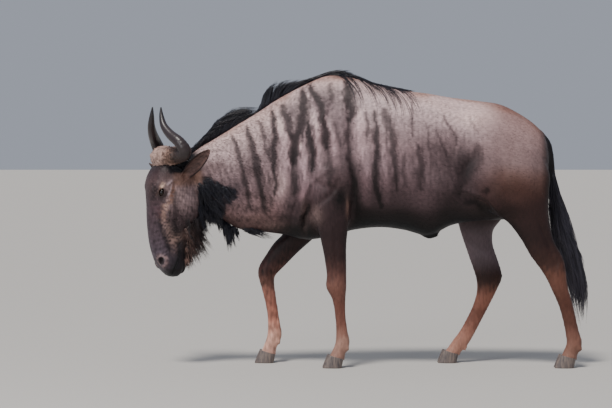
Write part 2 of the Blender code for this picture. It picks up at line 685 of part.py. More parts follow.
def dewclaws(table):
    """Two small horny knobs behind the fetlock."""
    rows = numbers(table)
    fetlock = rows[-3]
    pastern = rows[-2]
    x = (fetlock[2] + pastern[2]) / 2
    z = (fetlock[3] + pastern[3]) / 2
    y = fetlock[5]
    made = []
    for side in (-1, 1):
        made.append(ball_mesh("dewclaw", (x - 0.004, y + side * 0.019, z), DEWCLAW_RADII, 10))
    return made


def raise_forms(mesh):
    """Move the flanks out or in by each form: its height times a bell curve
    of the distance from its middle, where the skin faces sideways."""
    points = points_of(mesh)
    normals = np.empty(len(points) * 3)
    mesh.vertices.foreach_get("normal", normals)
    normals = normals.reshape(-1, 3)
    lift = np.zeros(len(points))
    for _, x, z, size_x, size_z, height in FORMS:
        distance = ((points[:, 0] - x) / size_x) ** 2 + ((points[:, 2] - z) / size_z) ** 2
        lift += height * np.exp(-distance)
    lift *= np.clip(np.abs(normals[:, 1]) * 1.4 - 0.3, 0.0, 1.0)
    set_points(mesh, points + lift[:, None] * normals)


def make_body():
    """Trunk, neck and legs fused under one skin, before they are parted."""
    meshes = [trunk_mesh()]
    for name, table, _ in LEGS:
        meshes.append(leg_mesh(name, table))
        meshes.extend(dewclaws(table))
    body = put("body", joined("body", meshes))
    one_skin(body, BODY_VOXEL)
    relax(body.data, 5)
    raise_forms(body.data)
    thin_out(body, BODY_TRIANGLES)
    return body


def foot_plane(table):
    """A point on the coronet and the way down and back that leaves the leg."""
    rows = numbers(table)
    front_x, _, back_x, _, _, y = rows[-1]
    run = back_x - front_x
    fall = CORONET_FRONT_Z - CORONET_BACK_Z
    normal = Vector((-fall, 0.0, -run)).normalized()
    return Vector((front_x, y, CORONET_FRONT_Z)), normal


def make_legs(body):
    """Part the legs from the body with prisms, then cut them at the coronet."""
    legs = []
    for name, table, first in LEGS:
        leg = put(name, body.data.copy())
        combine(leg, leg_prism("part", table, first, 0.0), "INTERSECT")
        point, normal = foot_plane(table)
        keep_side(leg, point - normal * GAP, normal)
        legs.append(leg)
    for name, table, first in LEGS:
        combine(body, leg_prism("part", table, first, GAP), "DIFFERENCE")
    return legs


def claw_mesh(name, table, side):
    """One claw: a D-shaped sole lofted up to the sloping coronet."""
    front_x, _, back_x, _, _, y = numbers(table)[-1]
    toe_x = front_x - 0.024
    t = np.linspace(0.0, 2 * math.pi, CLAW_POINTS, endpoint=False)
    bulge = np.where(np.cos(t) < 0, 1.0, 0.82)
    rings = []
    for share in (0.0, 0.5, 1.0):
        length = CLAW_LENGTH + share * (CLAW_TOP_LENGTH - CLAW_LENGTH)
        width = CLAW_WIDTH * (1.0 - 0.06 * share)
        middle_x = toe_x + CLAW_LENGTH / 2 + share * 0.016
        x = middle_x + np.sign(np.cos(t)) * np.abs(np.cos(t)) ** 0.9 * length / 2 * bulge
        offset = y + side * CLAW_SPACING / 2
        across = np.sin(t) * width / 2 * (1 + 0.18 * np.cos(t))
        slope = (CORONET_BACK_Z - CORONET_FRONT_Z) / (back_x - front_x)
        top_z = CORONET_FRONT_Z + slope * (x - front_x)
        rings.append(np.stack([x, offset + across, share * top_z], axis=-1))
    return tube_mesh(name, np.array(rings))


def make_claws():
    claws = []
    for name, table, _ in LEGS:
        foot = name.replace("leg", "hoof")
        for side, word in ((-1, "a"), (1, "b")):
            claws.append(put(foot + "_" + word, claw_mesh(foot, table, side)))
    return claws


def mirrored(point, side):
    return (point[0] * side, point[1], point[2])


def make_head(frame):
    """The head without horns, ears and eyes: one skin over its masses."""
    rows = through(numbers(HEAD), 4)
    z, face_y, jaw_y, half_width, egg = rows.T
    t = np.linspace(0.0, 2 * math.pi, 28, endpoint=False)[None, :]
    middle = (face_y + jaw_y)[:, None] / 2
    half = (face_y - jaw_y)[:, None] / 2
    flat = np.sign(np.cos(t)) * np.abs(np.cos(t)) ** 0.75
    wide = np.sign(np.sin(t)) * np.abs(np.sin(t)) ** 0.85
    rings = np.empty((len(z), 28, 3))
    rings[..., 0] = half_width[:, None] * wide * (1 + egg[:, None] * np.cos(t))
    rings[..., 1] = middle + half * flat
    rings[..., 2] = z[:, None]
    meshes = [tube_mesh("skull", rings), ball_mesh("chin", CHIN_AT, CHIN_RADII)]
    for side in (-1, 1):
        meshes.append(ball_mesh("brow", mirrored(BROW_AT, side), BROW_RADII))
        meshes.append(ball_mesh("cheek", mirrored(CHEEK_AT, side), CHEEK_RADII))
        meshes.append(ball_mesh("nostril rim", mirrored(NOSTRIL_RIM_AT, side), NOSTRIL_RIM_RADII))
    head = put("head", joined("head", meshes))
    one_skin(head, HEAD_VOXEL)
    relax(head.data, 3)
    head.data.transform(frame)
    thin_out(head, HEAD_TRIANGLES)
    return head


def eye_opening(side):
    """A lens-shaped block that looks out of the socket and parts the lids."""
    out = Vector(mirrored(EYE_OUT, side)).normalized()
    along = Vector((0, math.sin(EYE_SLANT), -math.cos(EYE_SLANT)))
    along = (along - out * along.dot(out)).normalized()
    height = out.cross(along)
    half_length, half_height = EYE_OPENING
    t = np.linspace(0.0, 2 * math.pi, 12, endpoint=False)
    rings = []
    for reach in (EYE_RADIUS * 0.35, EYE_RADIUS * 2.0):
        spread = 0.9 + 0.25 * reach / EYE_RADIUS
        centre = Vector(mirrored(EYE_AT, side)) + out * reach
        rings.append([centre + along * (math.cos(a) * half_length * spread)
                      + height * (math.sin(a) * abs(math.sin(a)) ** 0.3 * half_height * spread)
                      for a in t])
    return tube_mesh("opening", np.array(rings))


def make_eyes(frame, head):
    """Each eyeball lies in its socket behind two lids that are part of the head."""
    eyes = []
    for side, word in ((-1, "left"), (1, "right")):
        lids = ball_mesh("lids", mirrored(EYE_AT, side), (EYE_RADIUS + LID_THICKNESS,) * 3, 14)
        opening = eye_opening(side)
        ball = ball_mesh("eye", mirrored(EYE_AT, side), (EYE_RADIUS,) * 3, 12)
        for mesh in (lids, opening, ball):
            mesh.transform(frame)
        combine(head, lids, "UNION")
        combine(head, opening, "DIFFERENCE")
        combine(head, grown(ball, GAP), "DIFFERENCE")
        eyes.append(put("eye_" + word, ball))
    return eyes


def cut_face(frame, head):
    """Open the nostrils and draw the line between the lips."""
    for side in (-1, 1):
        nostril = ball_mesh("nostril", mirrored(NOSTRIL_AT, side), NOSTRIL_RADII, 10)
        nostril.transform(frame)
        combine(head, nostril, "DIFFERENCE")
    line = through(MOUTH_LINE, 2)
    run = np.gradient(line, axis=0)
    square = np.stack([-run[:, 1], run[:, 0]], axis=-1) / np.linalg.norm(run, axis=1)[:, None]
    taper = np.linspace(1.0, 0.4, len(line))[:, None]
    upper = line + square * taper * MOUTH_GAP / 2
    lower = line - square * taper * MOUTH_GAP / 2
    blade = prism_mesh("mouth", np.vstack([upper, lower[::-1]]).tolist(), -0.12, 0.12)
    blade.transform(frame @ Matrix.Rotation(math.radians(90), 4, "Z"))
    combine(head, blade, "DIFFERENCE")


def horn_mesh(side):
    rows = through(numbers(HORN), 2)
    centres = rows[:, 0:3] * (side, 1, 1)
    return round_tube("horn", centres, rows[:, 4], rows[:, 3], (0, 1, 0), 10)


def make_horns(frame, head_tool):
    horns = []
    for side, word in ((-1, "left"), (1, "right")):
        horn = put("horn_" + word, horn_mesh(side))
        keep_side(horn, Vector((side * GAP / 2, 0, 0)), Vector((-side, 0, 0)))
        horn.data.transform(frame)
        combine(horn, head_tool, "DIFFERENCE")
        horns.append(horn)
    return horns


def ear_mesh(base, tip, opening):
    """A leaf rolled about its own length into a cup, with a wall of EAR_WALL.

    At each station the leaf is an arc of radius half width over half roll,
    whose lips point the opening way; the inner wall is the same arc, tighter.
    """
    base = np.array(base)
    along = np.array(tip) - base
    length = np.linalg.norm(along)
    along /= length
    opening = np.array(opening, dtype=float)
    opening -= opening.dot(along) * along
    opening /= np.linalg.norm(opening)
    across = np.cross(along, opening)
    share, half, roll = through(numbers(EAR_LEAF), 2).T
    half_roll = np.radians(roll)[:, None] / 2
    radius = half[:, None] / half_roll
    angle = np.linspace(-1.0, 1.0, 7)[None, :] * half_roll
    middle = base + along * (share[:, None] * length - EAR_SINK) + opening * radius
    walls = []
    for reach in (radius, np.maximum(radius - EAR_WALL, radius * 0.45)):
        side = (np.sin(angle) * reach)[..., None] * across
        deep = (np.cos(angle) * reach)[..., None] * opening
        walls.append(middle[:, None, :] + side - deep)
    return shell_mesh("ear", walls[0], walls[1])


def make_ears(frame, tools):
    ears = []
    for word, shape in (("left", EAR_LEFT), ("right", EAR_RIGHT)):
        mesh = ear_mesh(*shape)
        mesh.transform(frame)
        ear = put("ear_" + word, mesh)
        for tool in tools:
            combine(ear, tool.copy(), "DIFFERENCE")
        ears.append(ear)
    return ears


def path_tube(name, rows, sides, flatten=1.0):
    """A tube down the mid plane through rows of x, z and radius."""
    rows = through(rows, 2)
    centres = np.stack([rows[:, 0], np.zeros(len(rows)), rows[:, 1]], axis=-1)
    return round_tube(name, centres, rows[:, 2] * flatten, rows[:, 2], (0, 1, 0), sides)


def lock_mesh(root, bend, tip, width, facing):
    """A flat lock of hair on the parabola root, bend, tip.

    It is widest a third of the way out and ends in a point. Its flat side
    looks towards facing.
    """
    s = np.linspace(0.0, 1.0, LOCK_RINGS)[:, None]
    line = (1 - s) ** 2 * root + 2 * s * (1 - s) * bend + s ** 2 * tip
    run = np.gradient(line, axis=0)
    run /= np.linalg.norm(run, axis=1)[:, None]
    across = np.cross(facing, run)
    across /= np.linalg.norm(across, axis=1)[:, None]
    out = np.cross(run, across)
    half = width / 2 * (0.72 + 1.3 * s - 1.85 * s ** 2)
    thick = LOCK_THICKNESS / 2 * (1.0 - 0.75 * s)
    corners = (across * half, out * thick, -across * half, -out * thick)
    return tube_mesh("lock", np.stack([line + corner for corner in corners], axis=1))


def fuse(piece, meshes):
    """Join the closed meshes to the piece with one union."""
    group = bpy.data.collections.new("locks")
    for mesh in meshes:
        lock = bpy.data.objects.new("lock", mesh)
        lock.hide_render = True
        group.objects.link(lock)
    bpy.context.scene.collection.children.link(group)
    union = piece.modifiers.new("union", "BOOLEAN")
    union.operation = "UNION"
    union.solver = "MANIFOLD"
    union.operand_type = "COLLECTION"
    union.collection = group
    settled(piece)
    for lock in list(group.objects):
        bpy.data.objects.remove(lock, do_unlink=True)
    bpy.data.collections.remove(group)
    flat = bmesh.new()
    flat.from_mesh(piece.data)
    bmesh.ops.triangulate(flat, faces=flat.faces)
    flat.to_mesh(piece.data)
    flat.free()
    return largest_body(piece)


def ridge_mesh(name, x, root, depth, half_width, shift, sink, away):
    """The core under a run of locks: sunk in the flesh, rounded on its edge.

    It stands square to the root line, to its left where away is 1.
    """
    level = np.array([-1.0, -1.0, 0.35, 1.0, 0.35])
    across = np.array([-0.8, 0.8, 0.8, 0.0, -0.8])
    rings = np.empty((len(x), len(level), 3))
    run = np.gradient(np.stack([x, root], axis=-1), axis=0)
    run *= away / np.linalg.norm(run, axis=1)[:, None]
    reach = np.where(level[None, :] < 0, -sink, level[None, :] * depth[:, None])
    rings[..., 0] = x[:, None] - run[:, 1:2] * reach
    rings[..., 1] = shift[:, None] + across[None, :] * half_width[:, None]
    rings[..., 2] = root[:, None] + run[:, 0:1] * reach
    return tube_mesh(name, rings)


def steps_along(rows, spacing):
    """Rows read from the curve through the table at even steps along it."""
    fine = through(rows, 12)
    step = np.hypot(np.diff(fine[:, 0]), np.diff(fine[:, 1]))
    length = np.concatenate([[0.0], np.cumsum(step)])
    count = max(2, int(round(length[-1] / spacing)))
    places = (np.arange(count) + 0.5) / count * length[-1]
    return np.stack([np.interp(places, length, column) for column in fine.T], axis=-1)


def clear_of(flesh, point, height):
    """The point, moved out of the flesh until it lies this high over the skin."""
    near, normal, _, _ = flesh.find_nearest(Vector(point))
    if (Vector(point) - near).dot(normal) > height:
        return point
    return np.array(near + normal * height)


def mane_locks(rows, flesh, draw):
    """Locks that rise from the crest, sweep back along it and part to both sides."""
    locks = []
    here = steps_along(rows, MANE_SPACING)
    run = np.gradient(here[:, :2], axis=0)
    run /= np.linalg.norm(run, axis=1)[:, None]
    for (x, z, core, length, rise, shift), (run_x, run_z) in zip(here, run):
        along = np.array([run_x, 0.0, run_z])
        away = np.array([-run_z, 0.0, run_x])
        for way in (-1.0, 1.0):
            side = np.array([0.0, way, 0.0])
            reach = length * draw.uniform(0.8, 1.1)
            start = draw.uniform(-0.35, 0.35) * MANE_SPACING + way * MANE_SPACING / 4
            root = np.array([x, shift, z]) + along * start + away * core * MANE_ROOT
            part = 0.75 - 0.60 * rise
            bend = root + reach * (along * (0.45 - 0.25 * rise) + away * (0.10 + 0.75 * rise)
                                   + side * part * 0.5)
            tip = root + reach * (along * 0.95 + away * (0.85 * rise - 0.4 * part)
                                  + side * part * draw.uniform(0.8, 1.1))
            bend = clear_of(flesh, bend, MANE_CLEARANCE * 1.4)
            tip = clear_of(flesh, tip, MANE_CLEARANCE)
            facing = away * (1.2 - rise) + side * (0.5 + rise)
            width = MANE_LOCK_WIDTH * draw.uniform(0.8, 1.15)
            locks.append(lock_mesh(root, bend, tip, width, facing))
    return locks


def skin_tree(piece):
    """The piece's skin, ready to be asked for its nearest point."""
    made = bmesh.new()
    made.from_mesh(piece.data)
    tree = BVHTree.FromBMesh(made)
    made.free()
    return tree


def make_mane(tools, flesh, draw):
    mane = []
    table = numbers(MANE)
    for name, first, last in MANE_RUNS:
        rows = table[first:last + 1]
        x, z, core, _, _, shift = through(rows, 2).T
        half_width = np.full(len(x), MANE_CORE_HALF_WIDTH)
        piece = put(name, ridge_mesh(name, x, z, core, half_width, shift, MANE_SINK, 1.0))
        fuse(piece, mane_locks(rows, flesh, draw))
        for tool in tools:
            combine(piece, tool.copy(), "DIFFERENCE", "MANIFOLD")
        tools = tools + [grown(piece.data, LOCK_GAP)]
        mane.append(piece)
    return mane, tools


def beard_locks(rows, draw):
    """Locks that hang from both sides of the root line, leaning back a little."""
    locks = []
    here = steps_along(rows, BEARD_SPACING)
    runs = np.gradient(here[:, :2], axis=0)
    runs /= np.linalg.norm(runs, axis=1)[:, None]
    for (x, z, core, length, spread, shift, lean), (run_x, run_z) in zip(here, runs):
        run = np.array([run_x, 0.0, run_z])
        away = np.array([run_z, 0.0, -run_x])
        for way in (-1.0, 1.0):
            reach = length * draw.uniform(0.75, 1.1)
            back = reach * lean * draw.uniform(0.6, 1.4)
            start = draw.uniform(-0.3, 0.3) * BEARD_SPACING + way * BEARD_SPACING / 4
            side = way * spread
            root = np.array([x, shift + side * BEARD_CORE * 0.6, z])
            root += start * run + away * core * BEARD_ROOT
            bend = root + np.array([back * 0.35, side * 0.8, -0.5 * reach])
            tip = root + np.array([back, side * 0.4, -reach * (1 - 0.4 * lean)])
            facing = np.array([0.35, way, 0.0])
            width = BEARD_LOCK_WIDTH * draw.uniform(0.8, 1.15)
            locks.append(lock_mesh(root, bend, tip, width, facing))
    return locks


def make_beards(tools, draw):
    beards = []
    for name, table in (("beard_chin", CHIN_BEARD), ("beard_throat", THROAT_BEARD)):
        rows = numbers(table)
        x, z, core, _, spread, shift, _ = through(rows, 2).T
        half_width = spread * BEARD_CORE
        piece = put(name, ridge_mesh(name, x, z, core, half_width, shift, BEARD_SINK, -1.0))
        fuse(piece, beard_locks(rows, draw))
        for tool in tools:
            combine(piece, tool.copy(), "DIFFERENCE", "MANIFOLD")
        tools = tools + [grown(piece.data, LOCK_GAP)]
        beards.append(piece)
    return beards


def tuft_locks(draw):
    """Locks rooted round the end of the dock that fan out and close to a point."""
    rows = through(numbers(TUFT), 6)[::-1]
    top = TUFT[0][2]
    locks = []
    for number in range(TUFT_LOCKS):
        share = number / (TUFT_LOCKS - 1)
        turn = number * math.radians(137.5)
        root_z = top - 0.04 - 0.16 * share
        tip_z = top - 0.26 - (0.14 + 0.14 * share) * draw.uniform(0.75, 1.0)
        heights = (root_z, root_z * 0.5 + tip_z * 0.5, tip_z)
        places = []
        for z, out in zip(heights, TUFT_LOCK_PLACES):
            x = np.interp(z, rows[:, 1], rows[:, 0])
            radius = np.interp(z, rows[:, 1], rows[:, 2]) * out
            places.append(np.array([x + math.cos(turn) * radius,
                                    math.sin(turn) * radius * TUFT_FLATNESS, z]))
        facing = np.array([math.cos(turn), math.sin(turn), 0.15])
        width = TUFT_LOCK_WIDTH * draw.uniform(0.85, 1.15)
        locks.append(lock_mesh(*places, width, facing))
    return locks


def make_tail(body_tool, draw):
    tail = put("tail", path_tube("tail", numbers(DOCK), 8))
    combine(tail, body_tool.copy(), "DIFFERENCE")
    rows = through(numbers(TUFT), 1)
    core = rows[rows[:, 1] > TUFT_CORE_END]
    core[:, 2] *= TUFT_CORE_SHARE
    tuft = put("tail_tuft", path_tube("tuft", core, 8, TUFT_FLATNESS))
    fuse(tuft, tuft_locks(draw))
    combine(tuft, grown(tail.data, GAP), "DIFFERENCE")
    combine(tuft, body_tool.copy(), "DIFFERENCE")
    return [tail, tuft]


def build():
    clear_scene()
    frame = head_frame()
    draw = np.random.default_rng(HAIR_SEED)
    head = make_head(frame)
    eyes = make_eyes(frame, head)
    cut_face(frame, head)
    head_tool = grown(head.data, GAP)
    body = make_body()
    legs = make_legs(body)
    body_tool = grown(body.data, GAP)
    flesh = skin_tree(body)
    leg_tools = [grown(leg.data, GAP) for leg in legs]
    horns = make_horns(frame, head_tool.copy())
    horn_tools = [grown(horn.data, GAP) for horn in horns]
    ears = make_ears(frame, [head_tool, body_tool] + horn_tools)
    combine(body, head_tool.copy(), "DIFFERENCE")
    neck = put("neck", body.data.copy())
    torso = body
    torso.name = "torso"
    lean = Vector(NECK_CUT_WAY).normalized()
    keep_side(neck, Vector(NECK_CUT_AT) - lean * GAP / 2, lean)
    keep_side(torso, Vector(NECK_CUT_AT) + lean * GAP / 2, -lean)
    tail, tuft = make_tail(body_tool, draw)
    combine(tuft, leg_tools[2].copy(), "DIFFERENCE")
    tools = [body_tool, head_tool] + horn_tools + [grown(ear.data, GAP) for ear in ears]
    mane, tools = make_mane(tools, flesh, draw)
    beards = make_beards(tools + leg_tools[:2], draw)
    claws = make_claws()
    finish(head, FACE_BLACK, 0.75)
    for piece in [neck, torso] + ears:
        finish(piece, COAT_BROWN, 0.7)
    for piece in legs:
        finish(piece, LEG_BROWN, 0.7)
    for piece in mane + beards + [tail, tuft]:
        finish(piece, HAIR_BLACK, 0.55)
    for piece in horns:
        finish(piece, HORN_BROWN, 0.4)
    for piece in claws:
        finish(piece, HOOF_GREY, 0.5)
    for piece in eyes:
        finish(piece, EYE_DARK, 0.05)
    centring = Matrix.Translation((-BOX_CENTRE[0], -BOX_CENTRE[1], 0.0))
    for piece in bpy.context.scene.objects:
        piece.data.transform(centring)


build()
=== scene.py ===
"""The looks of a blue wildebeest bull, life size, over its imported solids.

It stands facing -X with its left side to -Y. Lengths are metres. The skin is
worked out from outlines measured along the body; fur and long hair are solid
tufts set on that skin along the lie of the coat.
"""
import math

import bmesh
import bpy
import numpy as np
from mathutils import Matrix, Vector
from mathutils.bvhtree import BVHTree


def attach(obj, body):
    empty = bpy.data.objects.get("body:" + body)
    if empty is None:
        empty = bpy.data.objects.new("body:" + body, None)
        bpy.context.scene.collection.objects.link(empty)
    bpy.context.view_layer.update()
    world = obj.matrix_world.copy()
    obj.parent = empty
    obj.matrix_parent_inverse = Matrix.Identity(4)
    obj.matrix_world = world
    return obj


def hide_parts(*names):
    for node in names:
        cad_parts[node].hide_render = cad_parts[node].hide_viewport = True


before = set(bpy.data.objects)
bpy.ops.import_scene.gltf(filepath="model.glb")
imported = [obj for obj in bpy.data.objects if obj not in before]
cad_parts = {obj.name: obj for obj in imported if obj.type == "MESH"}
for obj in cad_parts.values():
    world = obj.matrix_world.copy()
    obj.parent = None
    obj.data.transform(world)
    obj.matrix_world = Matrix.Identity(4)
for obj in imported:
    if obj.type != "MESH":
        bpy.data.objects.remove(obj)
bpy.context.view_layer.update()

# The skin of the whole animal in one closed piece: trunk, neck, legs, dock and
# head are lofted through measured outlines, fused, smoothed and then given
# the muscles, hollows and folds that show under a short coat.
HOME = np.array((0.004, 0.017, 0.0))    # moves the tables' zero under the model's middle
# station: top x, top z, bottom x, bottom z, half width, side shift, egg
TRUNK = (
    ("buttock end", 0.850, 0.990, 0.846, 0.880, 0.055, 0.0, 0.0),
    ("buttock", 0.828, 1.075, 0.830, 0.760, 0.110, 0.0, 0.0),
    ("tail root", 0.760, 1.145, 0.742, 0.690, 0.155, 0.0, 0.05),
    ("croup", 0.635, 1.215, 0.621, 0.675, 0.182, 0.0, 0.10),
    ("hip", 0.518, 1.236, 0.509, 0.670, 0.192, 0.0, 0.12),
    ("loin", 0.388, 1.252, 0.398, 0.650, 0.196, 0.0, 0.12),
    ("belly", 0.281, 1.271, 0.290, 0.602, 0.206, 0.0, 0.12),
    ("last rib", 0.165, 1.285, 0.174, 0.628, 0.213, 0.0, 0.12),
    ("ribs", 0.044, 1.310, 0.063, 0.640, 0.208, 0.0, 0.16),
    ("withers", -0.077, 1.347, -0.058, 0.628, 0.186, 0.0, 0.22),
    ("shoulder", -0.188, 1.352, -0.170, 0.598, 0.172, 0.0, 0.26),
    ("brisket", -0.305, 1.303, -0.277, 0.583, 0.158, 0.0, 0.24),
    ("breast", -0.412, 1.245, -0.384, 0.606, 0.134, -0.002, 0.18),
    ("neck base", -0.514, 1.178, -0.495, 0.620, 0.112, -0.006, 0.14),
    ("lower neck", -0.611, 1.119, -0.590, 0.632, 0.096, -0.012, 0.12),
    ("mid neck", -0.704, 1.061, -0.672, 0.680, 0.085, -0.018, 0.10),
    ("throat", -0.774, 1.019, -0.738, 0.745, 0.077, -0.024, 0.04),
    ("nape", -0.830, 0.975, -0.780, 0.835, 0.064, -0.030, 0.0),
)
# station: front x, front z, back x, back z, half width, y
FORELEG_LEFT = (
    ("shoulder blade", -0.207, 1.150, -0.067, 1.110, 0.040, -0.105),
    ("upper arm", -0.281, 0.896, -0.067, 0.849, 0.066, -0.118),
    ("shoulder point", -0.272, 0.742, -0.067, 0.751, 0.070, -0.124),
    ("elbow", -0.235, 0.658, -0.081, 0.658, 0.058, -0.128),
    ("forearm", -0.212, 0.570, -0.091, 0.570, 0.048, -0.128),
    ("low forearm", -0.195, 0.486, -0.092, 0.486, 0.039, -0.126),
    ("above knee", -0.188, 0.425, -0.092, 0.425, 0.035, -0.124),
    ("knee", -0.191, 0.374, -0.092, 0.374, 0.038, -0.122),
    ("below knee", -0.163, 0.318, -0.096, 0.318, 0.029, -0.120),
    ("cannon", -0.150, 0.249, -0.096, 0.249, 0.024, -0.118),
    ("low cannon", -0.145, 0.174, -0.087, 0.174, 0.024, -0.117),
    ("fetlock", -0.148, 0.114, -0.076, 0.114, 0.032, -0.116),
    ("pastern", -0.162, 0.080, -0.096, 0.068, 0.032, -0.116),
    ("coronet", -0.182, 0.040, -0.102, 0.020, 0.040, -0.116),
)
FORELEG_RIGHT = (
    ("shoulder blade", -0.207, 1.150, -0.067, 1.110, 0.040, 0.105),
    ("upper arm", -0.309, 0.906, -0.100, 0.813, 0.066, 0.118),
    ("shoulder point", -0.356, 0.729, -0.133, 0.690, 0.070, 0.124),
    ("elbow", -0.386, 0.621, -0.240, 0.585, 0.058, 0.128),
    ("forearm", -0.435, 0.566, -0.319, 0.515, 0.047, 0.128),
    ("low forearm", -0.477, 0.501, -0.384, 0.450, 0.038, 0.126),
    ("above knee", -0.502, 0.459, -0.421, 0.412, 0.035, 0.124),
    ("knee", -0.509, 0.415, -0.428, 0.388, 0.038, 0.122),
    ("below knee", -0.491, 0.345, -0.425, 0.346, 0.029, 0.120),
    ("cannon", -0.472, 0.266, -0.414, 0.272, 0.024, 0.118),
    ("low cannon", -0.463, 0.192, -0.403, 0.200, 0.024, 0.117),
    ("fetlock", -0.466, 0.128, -0.393, 0.126, 0.032, 0.116),
    ("pastern", -0.480, 0.086, -0.416, 0.072, 0.032, 0.116),
    ("coronet", -0.499, 0.040, -0.424, 0.020, 0.040, 0.116),
)
HINDLEG_LEFT = (
    ("hip joint", 0.590, 1.050, 0.800, 1.010, 0.060, -0.098),
    ("thigh", 0.500, 0.872, 0.846, 0.900, 0.076, -0.112),
    ("stifle", 0.528, 0.747, 0.845, 0.816, 0.074, -0.116),
    ("upper gaskin", 0.639, 0.677, 0.842, 0.765, 0.062, -0.118),
    ("gaskin", 0.704, 0.598, 0.844, 0.693, 0.050, -0.119),
    ("low gaskin", 0.751, 0.519, 0.865, 0.593, 0.038, -0.120),
    ("above hock", 0.797, 0.458, 0.900, 0.526, 0.032, -0.120),
    ("hock", 0.830, 0.405, 0.918, 0.472, 0.034, -0.120),
    ("below hock", 0.853, 0.356, 0.928, 0.384, 0.030, -0.119),
    ("cannon top", 0.881, 0.295, 0.950, 0.307, 0.026, -0.118),
    ("cannon", 0.901, 0.230, 0.967, 0.239, 0.024, -0.117),
    ("low cannon", 0.914, 0.169, 0.982, 0.174, 0.025, -0.116),
    ("fetlock", 0.921, 0.114, 0.998, 0.112, 0.032, -0.115),
    ("pastern", 0.908, 0.078, 0.978, 0.066, 0.032, -0.115),
    ("coronet", 0.890, 0.040, 0.972, 0.020, 0.040, -0.115),
)
HINDLEG_RIGHT = (
    ("hip joint", 0.570, 1.045, 0.785, 1.000, 0.060, 0.098),
    ("thigh", 0.444, 0.859, 0.770, 0.868, 0.076, 0.112),
    ("stifle", 0.416, 0.734, 0.700, 0.752, 0.074, 0.116),
    ("upper gaskin", 0.430, 0.659, 0.640, 0.671, 0.062, 0.118),
    ("gaskin", 0.449, 0.594, 0.604, 0.622, 0.050, 0.119),
    ("low gaskin", 0.470, 0.535, 0.602, 0.557, 0.039, 0.120),
    ("above hock", 0.499, 0.455, 0.626, 0.480, 0.032, 0.120),
    ("hock", 0.518, 0.394, 0.645, 0.406, 0.034, 0.120),
    ("below hock", 0.521, 0.338, 0.622, 0.346, 0.030, 0.119),
    ("cannon top", 0.504, 0.273, 0.590, 0.280, 0.026, 0.118),
    ("cannon", 0.472, 0.205, 0.550, 0.203, 0.024, 0.117),
    ("low cannon", 0.438, 0.145, 0.515, 0.136, 0.025, 0.116),
    ("fetlock", 0.412, 0.110, 0.487, 0.088, 0.032, 0.115),
    ("pastern", 0.390, 0.078, 0.455, 0.055, 0.032, 0.115),
    ("coronet", 0.362, 0.040, 0.440, 0.020, 0.040, 0.115),
)
LEGS = (FORELEG_LEFT, FORELEG_RIGHT, HINDLEG_LEFT, HINDLEG_RIGHT)
DEWCLAW_RADII = (0.013, 0.010, 0.018)
DEWCLAW_SPREAD = 0.019
THROAT_LATCH_AT = (-0.800, -0.034, 0.858)
THROAT_LATCH_RADII = (0.062, 0.050, 0.066)
SHEATH_AT = (0.296, 0.0, 0.614)
SHEATH_RADII = (0.046, 0.022, 0.027)
# the dock's centre line: x, z, radius
DOCK = (
    ("root", 0.800, 1.082, 0.024),
    ("dock top", 0.843, 1.030, 0.021),
    ("dock", 0.860, 0.955, 0.018),
    ("low dock", 0.870, 0.860, 0.016),
    ("dock end", 0.884, 0.740, 0.014),
    ("in the tuft", 0.908, 0.630, 0.012),
    ("last bone", 0.930, 0.540, 0.009),
)
# muscles, bones and hollows of both flanks: x, z, size along, size up, height
FORMS = (
    ("upper arm muscle", -0.15, 0.87, 0.08, 0.1, 0.014),
    ("furrow behind the shoulder", -0.03, 0.86, 0.028, 0.13, -0.01),
    ("shoulder blade", -0.205, 1.08, 0.055, 0.14, 0.009),
    ("furrow before the shoulder", -0.33, 0.96, 0.04, 0.16, -0.008),
    ("rib cage", 0.11, 0.92, 0.16, 0.15, 0.01),
    ("flank hollow", 0.395, 0.99, 0.07, 0.11, -0.018),
    ("hip point", 0.5, 1.14, 0.036, 0.03, 0.013),
    ("loin edge", 0.33, 1.18, 0.12, 0.025, 0.006),
    ("thigh", 0.67, 0.9, 0.1, 0.12, 0.01),
    ("furrow before the thigh", 0.455, 0.88, 0.03, 0.08, -0.008),
    ("kneecap", 0.52, 0.78, 0.045, 0.05, 0.009),
    ("furrow in the buttock", 0.79, 0.9, 0.025, 0.11, -0.007),
)
